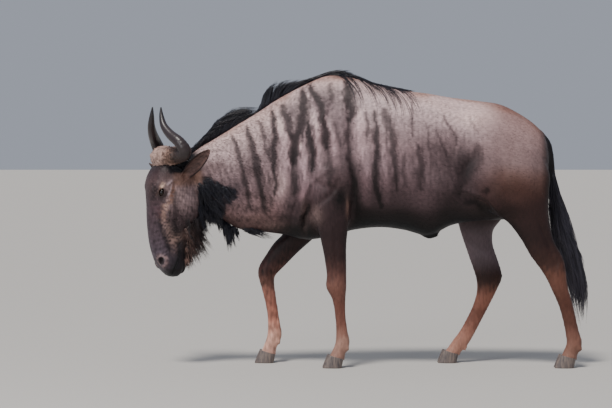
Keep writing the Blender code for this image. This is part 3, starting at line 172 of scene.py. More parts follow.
# narrow folds and grooves: half breadth, height, and their line in x and z
FOLDS = (
    ("crease behind the elbow", 0.016, -0.017,
     ((-0.07, 0.96), (-0.062, 0.849), (-0.057, 0.77), (-0.064, 0.69))),
    ("flap before the crease", 0.01, 0.008, ((-0.088, 0.8), (-0.084, 0.69))),
    ("front of the upper arm", 0.012, 0.011,
     ((-0.187, 0.914), (-0.259, 0.855), (-0.291, 0.797), (-0.308, 0.712), (-0.318, 0.653))),
    ("hollow of the breast", 0.013, -0.018, ((-0.266, 0.765), (-0.277, 0.715), (-0.287, 0.625))),
    ("second fold of the breast", 0.01, -0.006, ((-0.31, 0.8), (-0.345, 0.7), (-0.36, 0.64))),
    ("edge of the shoulder blade", 0.016, 0.005, ((-0.262, 0.96), (-0.18, 1.24))),
    ("back of the shoulder blade", 0.014, -0.006, ((-0.085, 1.23), (-0.075, 0.96))),
    ("shoulder muscle", 0.014, -0.006, ((-0.3, 0.9), (-0.2, 0.84), (-0.11, 0.82))),
    ("arm muscle", 0.012, -0.006, ((-0.225, 0.76), (-0.17, 0.8), (-0.12, 0.88))),
    ("flank fold", 0.013, 0.012,
     ((0.449, 0.82), (0.512, 0.802), (0.556, 0.785), (0.601, 0.725), (0.623, 0.676))),
    ("under the flank fold", 0.02, -0.016, ((0.44, 0.79), (0.505, 0.77), (0.54, 0.748), (0.575, 0.7))),
    ("hollow of the flank", 0.026, -0.008, ((0.498, 0.987), (0.454, 0.938), (0.418, 0.867))),
    ("groove of the thigh", 0.018, -0.005, ((0.6, 1.04), (0.625, 0.92), (0.65, 0.8))),
    ("thigh muscle", 0.02, 0.005, ((0.56, 0.96), (0.59, 0.84), (0.64, 0.76))),
    ("rib 1", 0.011, 0.003, ((0.055, 1.06), (0.085, 0.94), (0.11, 0.82))),
    ("rib 2", 0.011, 0.003, ((0.11, 1.06), (0.14, 0.94), (0.165, 0.82))),
    ("rib 3", 0.011, 0.0032, ((0.165, 1.06), (0.197, 0.94), (0.225, 0.82))),
    ("rib 4", 0.011, 0.0032, ((0.22, 1.05), (0.256, 0.94), (0.285, 0.82))),
    ("rib 5", 0.011, 0.0028, ((0.275, 1.04), (0.308, 0.94), (0.335, 0.84))),
    ("neck groove", 0.022, -0.007, ((-0.76, 0.88), (-0.62, 0.8), (-0.48, 0.77))),
    ("neck muscle", 0.03, 0.005, ((-0.77, 0.95), (-0.62, 0.93), (-0.48, 0.92))),
    ("neck fold 1", 0.008, -0.003, ((-0.735, 0.96), (-0.7, 0.82))),
    ("neck fold 2", 0.008, -0.003, ((-0.69, 0.98), (-0.655, 0.8))),
    ("breast fold 1", 0.009, 0.004, ((-0.56, 0.7), (-0.47, 0.655), (-0.37, 0.635))),
    ("breast fold 2", 0.009, -0.004, ((-0.52, 0.72), (-0.43, 0.68), (-0.34, 0.67))),
    ("forearm groove", 0.008, -0.005, ((-0.15, 0.64), (-0.14, 0.46))),
    ("cannon groove", 0.006, -0.005, ((-0.112, 0.33), (-0.108, 0.15))),
    ("gaskin groove", 0.009, -0.008, ((0.78, 0.7), (0.83, 0.59), (0.868, 0.48))),
    ("hock tendon", 0.007, -0.004, ((0.88, 0.5), (0.85, 0.4))),
    ("hind cannon groove", 0.006, -0.005, ((0.905, 0.34), (0.95, 0.16))),
)
BODY_VOXEL = 0.0092
TRUNK_SIDES = 56
LEG_SIDES = 32
DOCK_SIDES = 20


def through(rows, per_span):
    """A Catmull-Rom curve through the rows, in per_span even steps a span.

    Each step is half of (2b + (c - a)u + (2a - 5b + 4c - d)u^2
    + (3b - a - 3c + d)u^3) for the rows a, b, c, d round it.
    """
    rows = np.asarray(rows, dtype=float)
    padded = np.vstack([2 * rows[0] - rows[1], rows, 2 * rows[-1] - rows[-2]])
    spans = len(rows) - 1
    t = np.linspace(0.0, spans, spans * per_span + 1)
    k = np.minimum(t.astype(int), spans - 1)
    u = (t - k)[:, None]
    a, b, c, d = padded[k], padded[k + 1], padded[k + 2], padded[k + 3]
    return 0.5 * (2 * b + (c - a) * u + (2 * a - 5 * b + 4 * c - d) * u ** 2
                  + (3 * b - a - 3 * c + d) * u ** 3)


def numbers(table):
    """The table's rows without the names of the stations."""
    return np.array([row[1:] for row in table], dtype=float)


def unit(vectors):
    return vectors / np.maximum(np.linalg.norm(vectors, axis=-1, keepdims=True), 1e-12)


def ease(x, low, high):
    """0 below low, 1 above high, and 3t^2 - 2t^3 of the share t between."""
    t = np.clip((x - low) / (high - low), 0.0, 1.0)
    return t * t * (3 - 2 * t)


def turns(sides):
    """Even angles round a circle, in one row."""
    return np.linspace(0.0, 2 * math.pi, sides, endpoint=False)[None, :]


def tubes(rings, last=None):
    """Closed tubes from an array of tube, ring, side and xyz.

    Neighbouring rings are joined by two triangles a side, and each end is
    closed by a fan round the mean of its ring, or round the point in last.
    """
    count, rows, sides = rings.shape[:3]
    first = rings[:, 0].mean(axis=1, keepdims=True)
    last = rings[:, -1].mean(axis=1, keepdims=True) if last is None else last[:, None, :]
    points = np.concatenate([rings.reshape(count, rows * sides, 3), first, last], axis=1)
    i = np.arange(rows * sides).reshape(rows, sides)
    j = np.roll(i, -1, axis=1)
    one = np.concatenate([
        np.stack([i[:-1], j[:-1], j[1:]], -1).reshape(-1, 3),
        np.stack([i[:-1], j[1:], i[1:]], -1).reshape(-1, 3),
        np.stack([j[0], i[0], np.full(sides, rows * sides)], -1),
        np.stack([i[-1], j[-1], np.full(sides, rows * sides + 1)], -1)])
    faces = one[None] + (np.arange(count) * points.shape[1])[:, None, None]
    return points.reshape(-1, 3), faces.reshape(-1, 3)


def surface(name, points, faces):
    """A mesh from arrays of points and triangles."""
    mesh = bpy.data.meshes.new(name)
    mesh.vertices.add(len(points))
    mesh.vertices.foreach_set("co", np.ascontiguousarray(points, dtype=np.float32).ravel())
    mesh.loops.add(faces.size)
    mesh.loops.foreach_set("vertex_index", faces.astype(np.int32).ravel())
    mesh.polygons.add(len(faces))
    mesh.polygons.foreach_set("loop_start", np.arange(0, faces.size, 3, dtype=np.int32))
    mesh.update(calc_edges=True)
    return mesh


def outward(mesh):
    """Turn the faces of closed shells so that they point out."""
    turned = bmesh.new()
    turned.from_mesh(mesh)
    bmesh.ops.recalc_face_normals(turned, faces=turned.faces)
    turned.to_mesh(mesh)
    turned.free()
    return mesh


def placed(name, data):
    piece = bpy.data.objects.new(name.replace(" ", "_"), data)
    bpy.context.scene.collection.objects.link(piece)
    return piece


def gathered(shapes):
    """Several point and triangle arrays as one pair."""
    starts = np.cumsum([0] + [len(points) for points, _ in shapes[:-1]])
    faces = [faces + start for (_, faces), start in zip(shapes, starts)]
    return np.concatenate([points for points, _ in shapes]), np.concatenate(faces)


def oval_rings(front, back, half_width, shift, egg, sides):
    """Ovals whose long axis joins front and back in the side view.

    The point at angle t is the middle plus cos t of the half axis, and
    shift + half width * sin t * (1 - egg * cos t) across.
    """
    t = turns(sides)
    middle = (front + back) / 2
    half = (front - back) / 2
    rings = np.empty((len(front), sides, 3))
    rings[..., 0] = middle[:, 0:1] + half[:, 0:1] * np.cos(t)
    rings[..., 2] = middle[:, 1:2] + half[:, 1:2] * np.cos(t)
    rings[..., 1] = shift[:, None] + half_width[:, None] * np.sin(t) * (1 - egg[:, None] * np.cos(t))
    return rings


def ball(centre, radii, rows=16, sides=24):
    """An ellipsoid: rings of radius sin a at height cos a, scaled by the radii."""
    a = np.linspace(0.06, math.pi - 0.06, rows)[:, None]
    t = turns(sides)
    ring = np.stack([np.sin(a) * np.cos(t), np.sin(a) * np.sin(t), np.cos(a) + 0 * t], axis=-1)
    return tubes((ring * radii + np.asarray(centre))[None])


def side_view_tube(rows, egg, sides):
    """A closed tube of ovals through rows of front, back, half width and shift."""
    return tubes(oval_rings(rows[:, 0:2], rows[:, 2:4], rows[:, 4], rows[:, 5], egg, sides)[None])


def pipe_rings(centres, radius_side, radius_other, hint, sides):
    """Rings square to a centre line: cos t towards hint, sin t square to both."""
    along = unit(np.gradient(centres, axis=0))
    side = unit(hint - (along * hint).sum(axis=-1, keepdims=True) * along)
    other = np.cross(along, side)
    t = turns(sides)[..., None]
    return (centres[:, None] + np.cos(t) * radius_side[:, None, None] * side[:, None]
            + np.sin(t) * radius_other[:, None, None] * other[:, None])


def settled(piece):
    """Replace the piece's mesh by what its modifiers make of it."""
    view = bpy.context.evaluated_depsgraph_get()
    view.update()
    mesh = bpy.data.meshes.new_from_object(piece.evaluated_get(view))
    piece.modifiers.clear()
    piece.data = mesh
    return piece


def fused(name, shapes, voxel):
    """One even closed skin over shapes that run into one another."""
    piece = placed(name, outward(surface(name, *gathered(shapes))))
    skin = piece.modifiers.new("skin", "REMESH")
    skin.mode = "VOXEL"
    skin.voxel_size = voxel
    return settled(piece)


def points_of(mesh, what="co"):
    flat = np.empty(len(mesh.vertices) * 3, dtype=np.float32)
    mesh.vertices.foreach_get(what, flat)
    return flat.reshape(-1, 3).astype(float)


def set_points(mesh, points):
    mesh.vertices.foreach_set("co", points.astype(np.float32).ravel())
    mesh.update()


def raise_relief(mesh, relief):
    """Move the points along their normals as far as the relief says."""
    points, normals = points_of(mesh), points_of(mesh, "normal")
    set_points(mesh, points + relief(points, normals)[:, None] * normals)


def relax(mesh, rounds, weight=1.0):
    """Smooth without shrinking: each point goes 0.6 of the way to the mean of
    its neighbours, then 0.62 of the way back out, times its weight."""
    edges = np.empty(len(mesh.edges) * 2, dtype=np.int32)
    mesh.edges.foreach_get("vertices", edges)
    a, b = edges.reshape(-1, 2).T
    ends = np.concatenate([a, b])
    others = np.concatenate([b, a])
    points = points_of(mesh)
    degree = np.maximum(np.bincount(ends, minlength=len(points)), 1)
    for _ in range(rounds):
        for step in (0.6, -0.62):
            mean = np.stack([np.bincount(ends, points[others, k], len(points)) / degree
                             for k in range(3)], axis=-1)
            points = points + step * np.asarray(weight) * (mean - points)
    set_points(mesh, points)


def cut_or_join(piece, mesh, operation):
    """Apply one Boolean of the piece with a closed mesh."""
    tool = placed("tool", mesh)
    tool.hide_render = True
    step = piece.modifiers.new("step", "BOOLEAN")
    step.operation = operation
    step.solver = "MANIFOLD"
    step.object = tool
    settled(piece)
    bpy.data.objects.remove(tool, do_unlink=True)


def off_line(at, line):
    """The distance of flat points from a line of several parts, and the share
    of the whole run at the nearest place."""
    line = np.asarray(line, dtype=float)
    best = np.full(len(at), 9.0)
    place = np.zeros(len(at))
    for k in range(len(line) - 1):
        run = line[k + 1] - line[k]
        share = np.clip((at - line[k]) @ run / (run @ run), 0.0, 1.0)
        away = np.linalg.norm(at - line[k] - share[:, None] * run, axis=1)
        place = np.where(away < best, (k + share) / (len(line) - 1), place)
        best = np.minimum(best, away)
    return best, place


def bell(away, breadth):
    """The curve exp(-(away / breadth)^2): 1 at the middle, 0 far from it."""
    return np.exp(-(away / breadth) ** 2)


def flank_relief(points, normals):
    """How far the flanks swell: for each form its height times a bell curve
    of the distance from its middle, for each fold of that from its line."""
    lift = np.zeros(len(points))
    for _, x, z, size_x, size_z, height in FORMS:
        lift += height * np.exp(-((points[:, 0] - x) / size_x) ** 2 - ((points[:, 2] - z) / size_z) ** 2)
    for _, breadth, height, line in FOLDS:
        near, share = off_line(points[:, (0, 2)], line)
        fade = 1.0 - 0.6 * np.abs(2 * share - 1) ** 3
        lift += height * fade * bell(near, breadth)
    return lift * np.clip(np.abs(normals[:, 1]) * 1.6 - 0.25, 0.0, 1.0)


rows = through(numbers(TRUNK), 6)
shapes = [side_view_tube(rows, rows[:, 6], TRUNK_SIDES)]
for leg in LEGS:
    rows = through(numbers(leg), 5)
    shapes.append(side_view_tube(rows, 0 * rows[:, 5], LEG_SIDES))
    fetlock, pastern = numbers(leg)[-3:-1]
    for side in (-DEWCLAW_SPREAD, DEWCLAW_SPREAD):
        knob = ((fetlock[2] + pastern[2]) / 2 - 0.004, fetlock[5] + side, (fetlock[3] + pastern[3]) / 2)
        shapes.append(ball(knob, DEWCLAW_RADII))
rows = through(numbers(DOCK), 5)
centres = np.stack([rows[:, 0], 0 * rows[:, 0], rows[:, 1]], axis=-1)
shapes.append(ball(SHEATH_AT, SHEATH_RADII))
shapes.append(ball(THROAT_LATCH_AT, THROAT_LATCH_RADII))
across = np.array((0.0, 1.0, 0.0))
shapes.append(tubes(pipe_rings(centres, rows[:, 2], rows[:, 2], across, DOCK_SIDES)[None]))
skin = fused("skin", shapes, BODY_VOXEL)
relax(skin.data, 7)
raise_relief(skin.data, flank_relief)

# The head, still part of that skin, is worked out in its own frame: x to the
# animal's right, y forward out of the face, z up the face. It is turned to
# the left by the yaw, and its zero is on the face midway between the eyes.
HEAD_VOXEL = 0.0040
HEAD_SIDES = 56
HEAD_AT = (-1.000, -0.080, 0.797)
HEAD_YAW = math.radians(21)
HEAD_PITCH = math.radians(5)
# station: z, face y, jaw y, half width, egg
HEAD = (
    ("poll", 0.182, -0.075, -0.160, 0.046, 0.0),
    ("crown", 0.160, -0.060, -0.186, 0.074, 0.0),
    ("forehead", 0.112, -0.012, -0.203, 0.091, 0.05),
    ("brow", 0.060, 0.014, -0.213, 0.095, 0.10),
    ("eye", 0.010, 0.018, -0.220, 0.091, 0.10),
    ("cheek", -0.050, 0.021, -0.227, 0.082, 0.05),
    ("jaw angle", -0.110, 0.026, -0.222, 0.074, 0.05),
    ("long face", -0.165, 0.027, -0.200, 0.064, 0.08),
    ("bridge", -0.220, 0.025, -0.168, 0.056, 0.10),
    ("above nostril", -0.272, 0.016, -0.144, 0.057, 0.10),
    ("nostril", -0.315, 0.001, -0.132, 0.064, 0.12),
    ("upper lip", -0.350, -0.018, -0.124, 0.064, 0.10),
    ("lip edge", -0.374, -0.038, -0.112, 0.050, 0.05),
    ("lip end", -0.388, -0.060, -0.096, 0.028, 0.0),
)
# masses on both sides of the head: place and radii
HEAD_MASSES = (
    ("brow", (0.061, -0.030, 0.036), (0.030, 0.037, 0.042)),
    ("cheek", (0.044, -0.150, -0.045), (0.042, 0.076, 0.112)),
    ("nostril rim", (0.047, -0.026, -0.318), (0.021, 0.019, 0.032)),
    ("chin", (0.008, -0.112, -0.335), (0.034, 0.026, 0.044)),
)
# hollows, ridges and folds of the face: half breadth, height, line in y and z
FACE_FORMS = (
    ("tear hollow", 0.01, -0.004, ((-0.034, -0.026), (-0.042, -0.06))),
    ("cheek ridge", 0.009, 0.004, ((-0.052, -0.02), (-0.062, -0.08), (-0.085, -0.16))),
    ("before the cheek ridge", 0.012, -0.0045, ((-0.034, -0.07), (-0.05, -0.14), (-0.07, -0.21))),
    ("edge of the jaw muscle", 0.01, -0.005,
     ((-0.092, 0.05), (-0.085, -0.01), (-0.098, -0.08), (-0.13, -0.135), (-0.165, -0.15))),
    ("edge of the nose", 0.009, 0.0025, ((-0.012, -0.06), (-0.014, -0.16), (-0.022, -0.25))),
    ("lip fold", 0.008, 0.0035, ((-0.07, -0.25), (-0.085, -0.3))),
    ("corner of the mouth", 0.007, -0.003, ((-0.094, -0.255), (-0.106, -0.235))),
    ("behind the nostril", 0.007, -0.0035, ((-0.034, -0.285), (-0.052, -0.335))),
    ("nose wrinkle 1", 0.004, 0.0016, ((-0.012, -0.285), (-0.045, -0.27))),
    ("nose wrinkle 2", 0.004, 0.0016, ((-0.012, -0.27), (-0.045, -0.254))),
    ("temple hollow", 0.016, -0.005, ((-0.08, 0.06), (-0.105, 0.03))),
    ("ridge to the ear", 0.009, 0.004, ((-0.056, 0.048), (-0.095, 0.07), (-0.13, 0.08))),
    ("fold behind the eye", 0.005, -0.0025, ((-0.056, 0.012), (-0.078, 0.004))),
    ("fold under the eye", 0.004, -0.0022, ((-0.024, -0.014), (-0.04, -0.024), (-0.058, -0.018))),
    ("second fold under the eye", 0.004, 0.0018,
     ((-0.026, -0.023), (-0.042, -0.034), (-0.062, -0.028))),
)
EYE_AT = (0.069, -0.036, 0.010)
EYE_RADIUS = 0.021
LID_THICKNESS = 0.004
EYE_OPENING = (0.0175, 0.0105)      # half length along the face, half height
EYE_OUT = (0.88, 0.45, 0.15)
EYE_SLANT = math.radians(20)
NOSTRIL_AT = (0.050, -0.008, -0.306)
NOSTRIL_RADII = (0.010, 0.013, 0.020)
MOUTH_LINE = ((-0.040, -0.400), (-0.062, -0.350), (-0.082, -0.318), (-0.094, -0.286), (-0.098, -0.262))
MOUTH_GAP = 0.0026
# an ear: base, tip, the way its cup opens
EARS = (
    ((-0.078, -0.140, 0.066), (-0.222, -0.240, 0.200), (-0.60, 0.55, -0.20)),
    ((0.078, -0.140, 0.066), (0.258, -0.085, 0.138), (0.15, 0.75, -0.45)),
)
EAR_WALL = 0.0042
EAR_SINK = 0.012
# share of the length, half width of the leaf, degrees through which it is rolled
EAR_LEAF = (
    ("stalk", 0.00, 0.030, 240),
    ("cup", 0.25, 0.041, 195),
    ("widest", 0.50, 0.044, 155),
    ("narrowing", 0.78, 0.034, 135),
    ("near the tip", 0.94, 0.017, 125),
    ("tip", 1.00, 0.006, 120),
)


def head_frame():
    """The head's frame: right, forward and up as columns, then its zero."""
    forward = Vector((-math.cos(HEAD_YAW), -math.sin(HEAD_YAW), 0.0))
    right = Vector((-math.sin(HEAD_YAW), math.cos(HEAD_YAW), 0.0))
    up = Vector((0.0, 0.0, 1.0))
    face = forward * math.cos(HEAD_PITCH) - up * math.sin(HEAD_PITCH)
    crown = up * math.cos(HEAD_PITCH) + forward * math.sin(HEAD_PITCH)
    made = Matrix((right, face, crown)).transposed().to_4x4()
    made.translation = Vector(HEAD_AT)
    return made


HEAD_FRAME = np.array(head_frame())


def from_head(points):
    return points @ HEAD_FRAME[:3, :3].T + HEAD_FRAME[:3, 3]


def to_head(points):
    return (points - HEAD_FRAME[:3, 3]) @ HEAD_FRAME[:3, :3]


def on_side(values, side):
    return np.array((values[0] * side, values[1], values[2]))


def skull_rings():
    """Rounded boxes up the face: cos t and sin t to the powers 0.75 and 0.85."""
    z, face_y, jaw_y, half_width, egg = through(numbers(HEAD), 6).T
    t = turns(HEAD_SIDES)
    flat = np.sign(np.cos(t)) * np.abs(np.cos(t)) ** 0.75
    wide = np.sign(np.sin(t)) * np.abs(np.sin(t)) ** 0.85
    rings = np.empty((len(z), HEAD_SIDES, 3))
    rings[..., 0] = half_width[:, None] * wide * (1 + egg[:, None] * np.cos(t))
    rings[..., 1] = (face_y + jaw_y)[:, None] / 2 + (face_y - jaw_y)[:, None] / 2 * flat
    rings[..., 2] = z[:, None]
    return rings


def face_relief(points, normals):
    """The folds of the face, each a bell curve of the distance from its line."""
    lift = np.zeros(len(points))
    for _, breadth, height, line in FACE_FORMS:
        near, _ = off_line(points[:, 1:3], line)
        lift += height * bell(near, breadth)
    return lift * np.clip(np.abs(normals[:, 0]) * 1.5 - 0.2, 0.0, 1.0)


def eye_axes(side):
    """The way out of the eye, along its opening, and up across it."""
    out = unit(on_side(EYE_OUT, side))
    along = np.array((0.0, math.sin(EYE_SLANT), -math.cos(EYE_SLANT)))
    along = unit(along - out * (along @ out))
    return out, along, np.cross(out, along)


def lid_opening(side):
    """A widening lens whose half height follows sin t to the power 1.3."""
    out, along, up = eye_axes(side)
    t = turns(40)[..., None]
    reach = np.array((0.35, 0.8, 1.3, 2.0))[:, None, None] * EYE_RADIUS
    spread = 0.9 + 0.25 * reach / EYE_RADIUS
    return tubes((on_side(EYE_AT, side) + out * reach
                  + along * np.cos(t) * EYE_OPENING[0] * spread
                  + up * np.sin(t) * np.abs(np.sin(t)) ** 0.3 * EYE_OPENING[1] * spread)[None])


def ear_axes(ear):
    """An ear's base and length, and the ways along it, into its cup and across."""
    base, tip, opening = (np.array(value) for value in ear)
    length = np.linalg.norm(tip - base)
    along = (tip - base) / length
    opening = unit(opening - along * (along @ opening))
    return base, length, along, opening, np.cross(along, opening)


def ear_shell(ear):
    """A leaf rolled about its own length into a cup, and its wall.

    At each station it is an arc of radius half width over half roll; the
    inner arc is the wall tighter. The two are closed along their borders.
    """
    base, length, along, opening, across = ear_axes(ear)
    share, half, roll = through(numbers(EAR_LEAF), 7).T
    half_roll = np.radians(roll)[:, None] / 2
    radius = half[:, None] / half_roll
    angle = np.linspace(-1.0, 1.0, 21)[None, :] * half_roll
    middle = base + along * (share[:, None] * length - EAR_SINK) + opening * radius
    outer, inner = [middle[:, None] + (np.sin(angle) * reach)[..., None] * across
                    - (np.cos(angle) * reach)[..., None] * opening
                    for reach in (radius, np.maximum(radius - EAR_WALL, radius * 0.45))]
    count, columns = outer.shape[:2]
    i = np.arange(count * columns).reshape(count, columns)
    a, b, c, d = i[:-1, :-1], i[:-1, 1:], i[1:, 1:], i[1:, :-1]
    halves = np.concatenate([np.stack([a, b, c], -1).reshape(-1, 3),
                             np.stack([a, c, d], -1).reshape(-1, 3)])
    rim = np.concatenate([i[0, :-1], i[:-1, -1], i[-1, :0:-1], i[:0:-1, 0]])
    after = np.roll(rim, -1)
    under = count * columns
    border = np.concatenate([np.stack([after, rim, rim + under], -1),
                             np.stack([after, rim + under, after + under], -1)])
    faces = np.concatenate([halves, (halves + under)[:, ::-1], border])
    return np.vstack([outer.reshape(-1, 3), inner.reshape(-1, 3)]), faces


def mouth_blade():
    """The line between the lips as a thin blade straight across the muzzle."""
    line = through(MOUTH_LINE, 4)
    run = unit(np.gradient(line, axis=0))
    square = np.stack([-run[:, 1], run[:, 0]], axis=-1) * np.linspace(1.0, 0.4, len(line))[:, None]
    edge = np.concatenate([line + square * MOUTH_GAP / 2, (line - square * MOUTH_GAP / 2)[::-1]])
    rings = np.empty((2, len(edge), 3))
    rings[..., 0] = np.array((-0.12, 0.12))[:, None]
    rings[..., 1:] = edge[None]
    return tubes(rings[None])


shapes = [tubes(skull_rings()[None])]
for side in (-1, 1):
    for _, place, radii in HEAD_MASSES:
        shapes.append(ball(on_side(place, side), radii))
head = fused("head", shapes, HEAD_VOXEL)
relax(head.data, 5)
raise_relief(head.data, face_relief)
for side in (-1, 1):
    lids = ball(on_side(EYE_AT, side), EYE_RADIUS + LID_THICKNESS, 28, 40)
    cut_or_join(head, outward(surface("lids", *lids)), "UNION")
for side in (-1, 1):
    for hole in (lid_opening(side), ball(on_side(EYE_AT, side), EYE_RADIUS * 1.02, 28, 40),
                 ball(on_side(NOSTRIL_AT, side), NOSTRIL_RADII)):
        cut_or_join(head, outward(surface("hole", *hole)), "DIFFERENCE")
cut_or_join(head, outward(surface("mouth", *mouth_blade())), "DIFFERENCE")
for ear in EARS:
    cut_or_join(head, outward(surface("ear", *ear_shell(ear))), "UNION")
set_points(head.data, from_head(points_of(head.data)))
cut_or_join(skin, head.data.copy(), "UNION")
bpy.data.objects.remove(head, do_unlink=True)
NECK_JOINT = (-0.800, -0.020, 0.900)
NECK_JOINT_REACH = 0.125
from_joint = np.linalg.norm(points_of(skin.data) - NECK_JOINT, axis=1)
relax(skin.data, 6, np.exp(-(from_joint / NECK_JOINT_REACH) ** 6)[:, None])

# The same skin drawn in by the depth of the coat, parted into triangles, and
# painted: light back and dark belly, partly the coat's own colour and partly
# painted light from above and painted shade below; black throat, partly black
# hair and partly the head's painted shadow; bands, ridges and patches, some of
# them painted shade, sheen or highlights; brown lower legs, the far ones painted
# lighter as if sunlit. All colours are worked out from the place on the body.
COAT_DEPTH = 0.0040
FACE_DEPTH = 0.0012
EAR_DEPTH = 0.0003
FOOT_REACH = 0.09       # half the length of the skin's end round a foot, and its height
FOOT_FRONT_Z = 0.062
FOOT_BACK_Z = 0.040
TOP_LINE = through(numbers(TRUNK)[::-1, 0:2], 8)
LOW_LINE = through(numbers(TRUNK)[::-1, 2:4], 8)
# share of the height from belly to back, then red, green and blue as seen;
# the light back and near-black belly are partly the coat's colour and partly
# painted light from above and painted shade below
BARREL = ((0.00, 12, 9, 9), (0.12, 34, 26, 27), (0.20, 60, 47, 49), (0.30, 88, 70, 73),
          (0.45, 116, 96, 99), (0.62, 136, 113, 115), (0.78, 172, 148, 149), (0.90, 200, 174, 173),
          (0.97, 200, 170, 166), (1.00, 168, 132, 122))
RUMP = ((0.00, 28, 19, 17), (0.14, 44, 28, 25), (0.25, 70, 47, 41), (0.38, 100, 75, 70),
        (0.52, 124, 102, 101), (0.68, 134, 110, 109), (0.82, 150, 123, 121), (0.92, 148, 118, 114),
        (0.965, 132, 96, 86), (1.00, 122, 86, 76))
NECK = ((0.00, 62, 46, 44), (0.14, 100, 77, 76), (0.32, 118, 95, 97), (0.55, 134, 112, 114),
        (0.75, 172, 147, 147), (0.90, 192, 165, 162), (1.00, 184, 150, 142))
# height over the floor, then the colour
FORELEG_COLOURS = ((0.03, 146, 112, 100), (0.12, 154, 118, 104), (0.20, 118, 79, 68), (0.28, 108, 70, 60),
                   (0.38, 116, 80, 70), (0.44, 84, 57, 52), (0.51, 52, 36, 35), (0.62, 46, 33, 34),
                   (0.76, 60, 45, 47), (0.90, 86, 68, 73))
HINDLEG_COLOURS = ((0.03, 134, 100, 87), (0.12, 122, 86, 74), (0.20, 92, 61, 52), (0.30, 85, 55, 46),
                   (0.38, 104, 69, 58), (0.43, 100, 66, 55), (0.48, 62, 42, 37), (0.60, 44, 30, 29),
                   (0.78, 56, 38, 36), (0.95, 84, 62, 58))
# height up the head from the chin to the crown, then the colour
FACE_FRONT = ((-0.380, 36, 31, 35), (-0.340, 74, 64, 71), (-0.280, 76, 66, 74), (-0.180, 72, 60, 66),
              (-0.060, 72, 57, 62), (0.010, 74, 58, 60), (0.060, 84, 66, 67), (0.110, 58, 44, 47),
              (0.150, 34, 28, 30))
FACE_SIDE = ((-0.380, 22, 20, 23), (-0.330, 46, 40, 45), (-0.260, 56, 48, 52), (-0.180, 46, 37, 38),
             (-0.110, 78, 63, 65), (-0.030, 138, 116, 116), (0.040, 128, 107, 106), (0.090, 80, 65, 65),
             (0.140, 36, 30, 32))
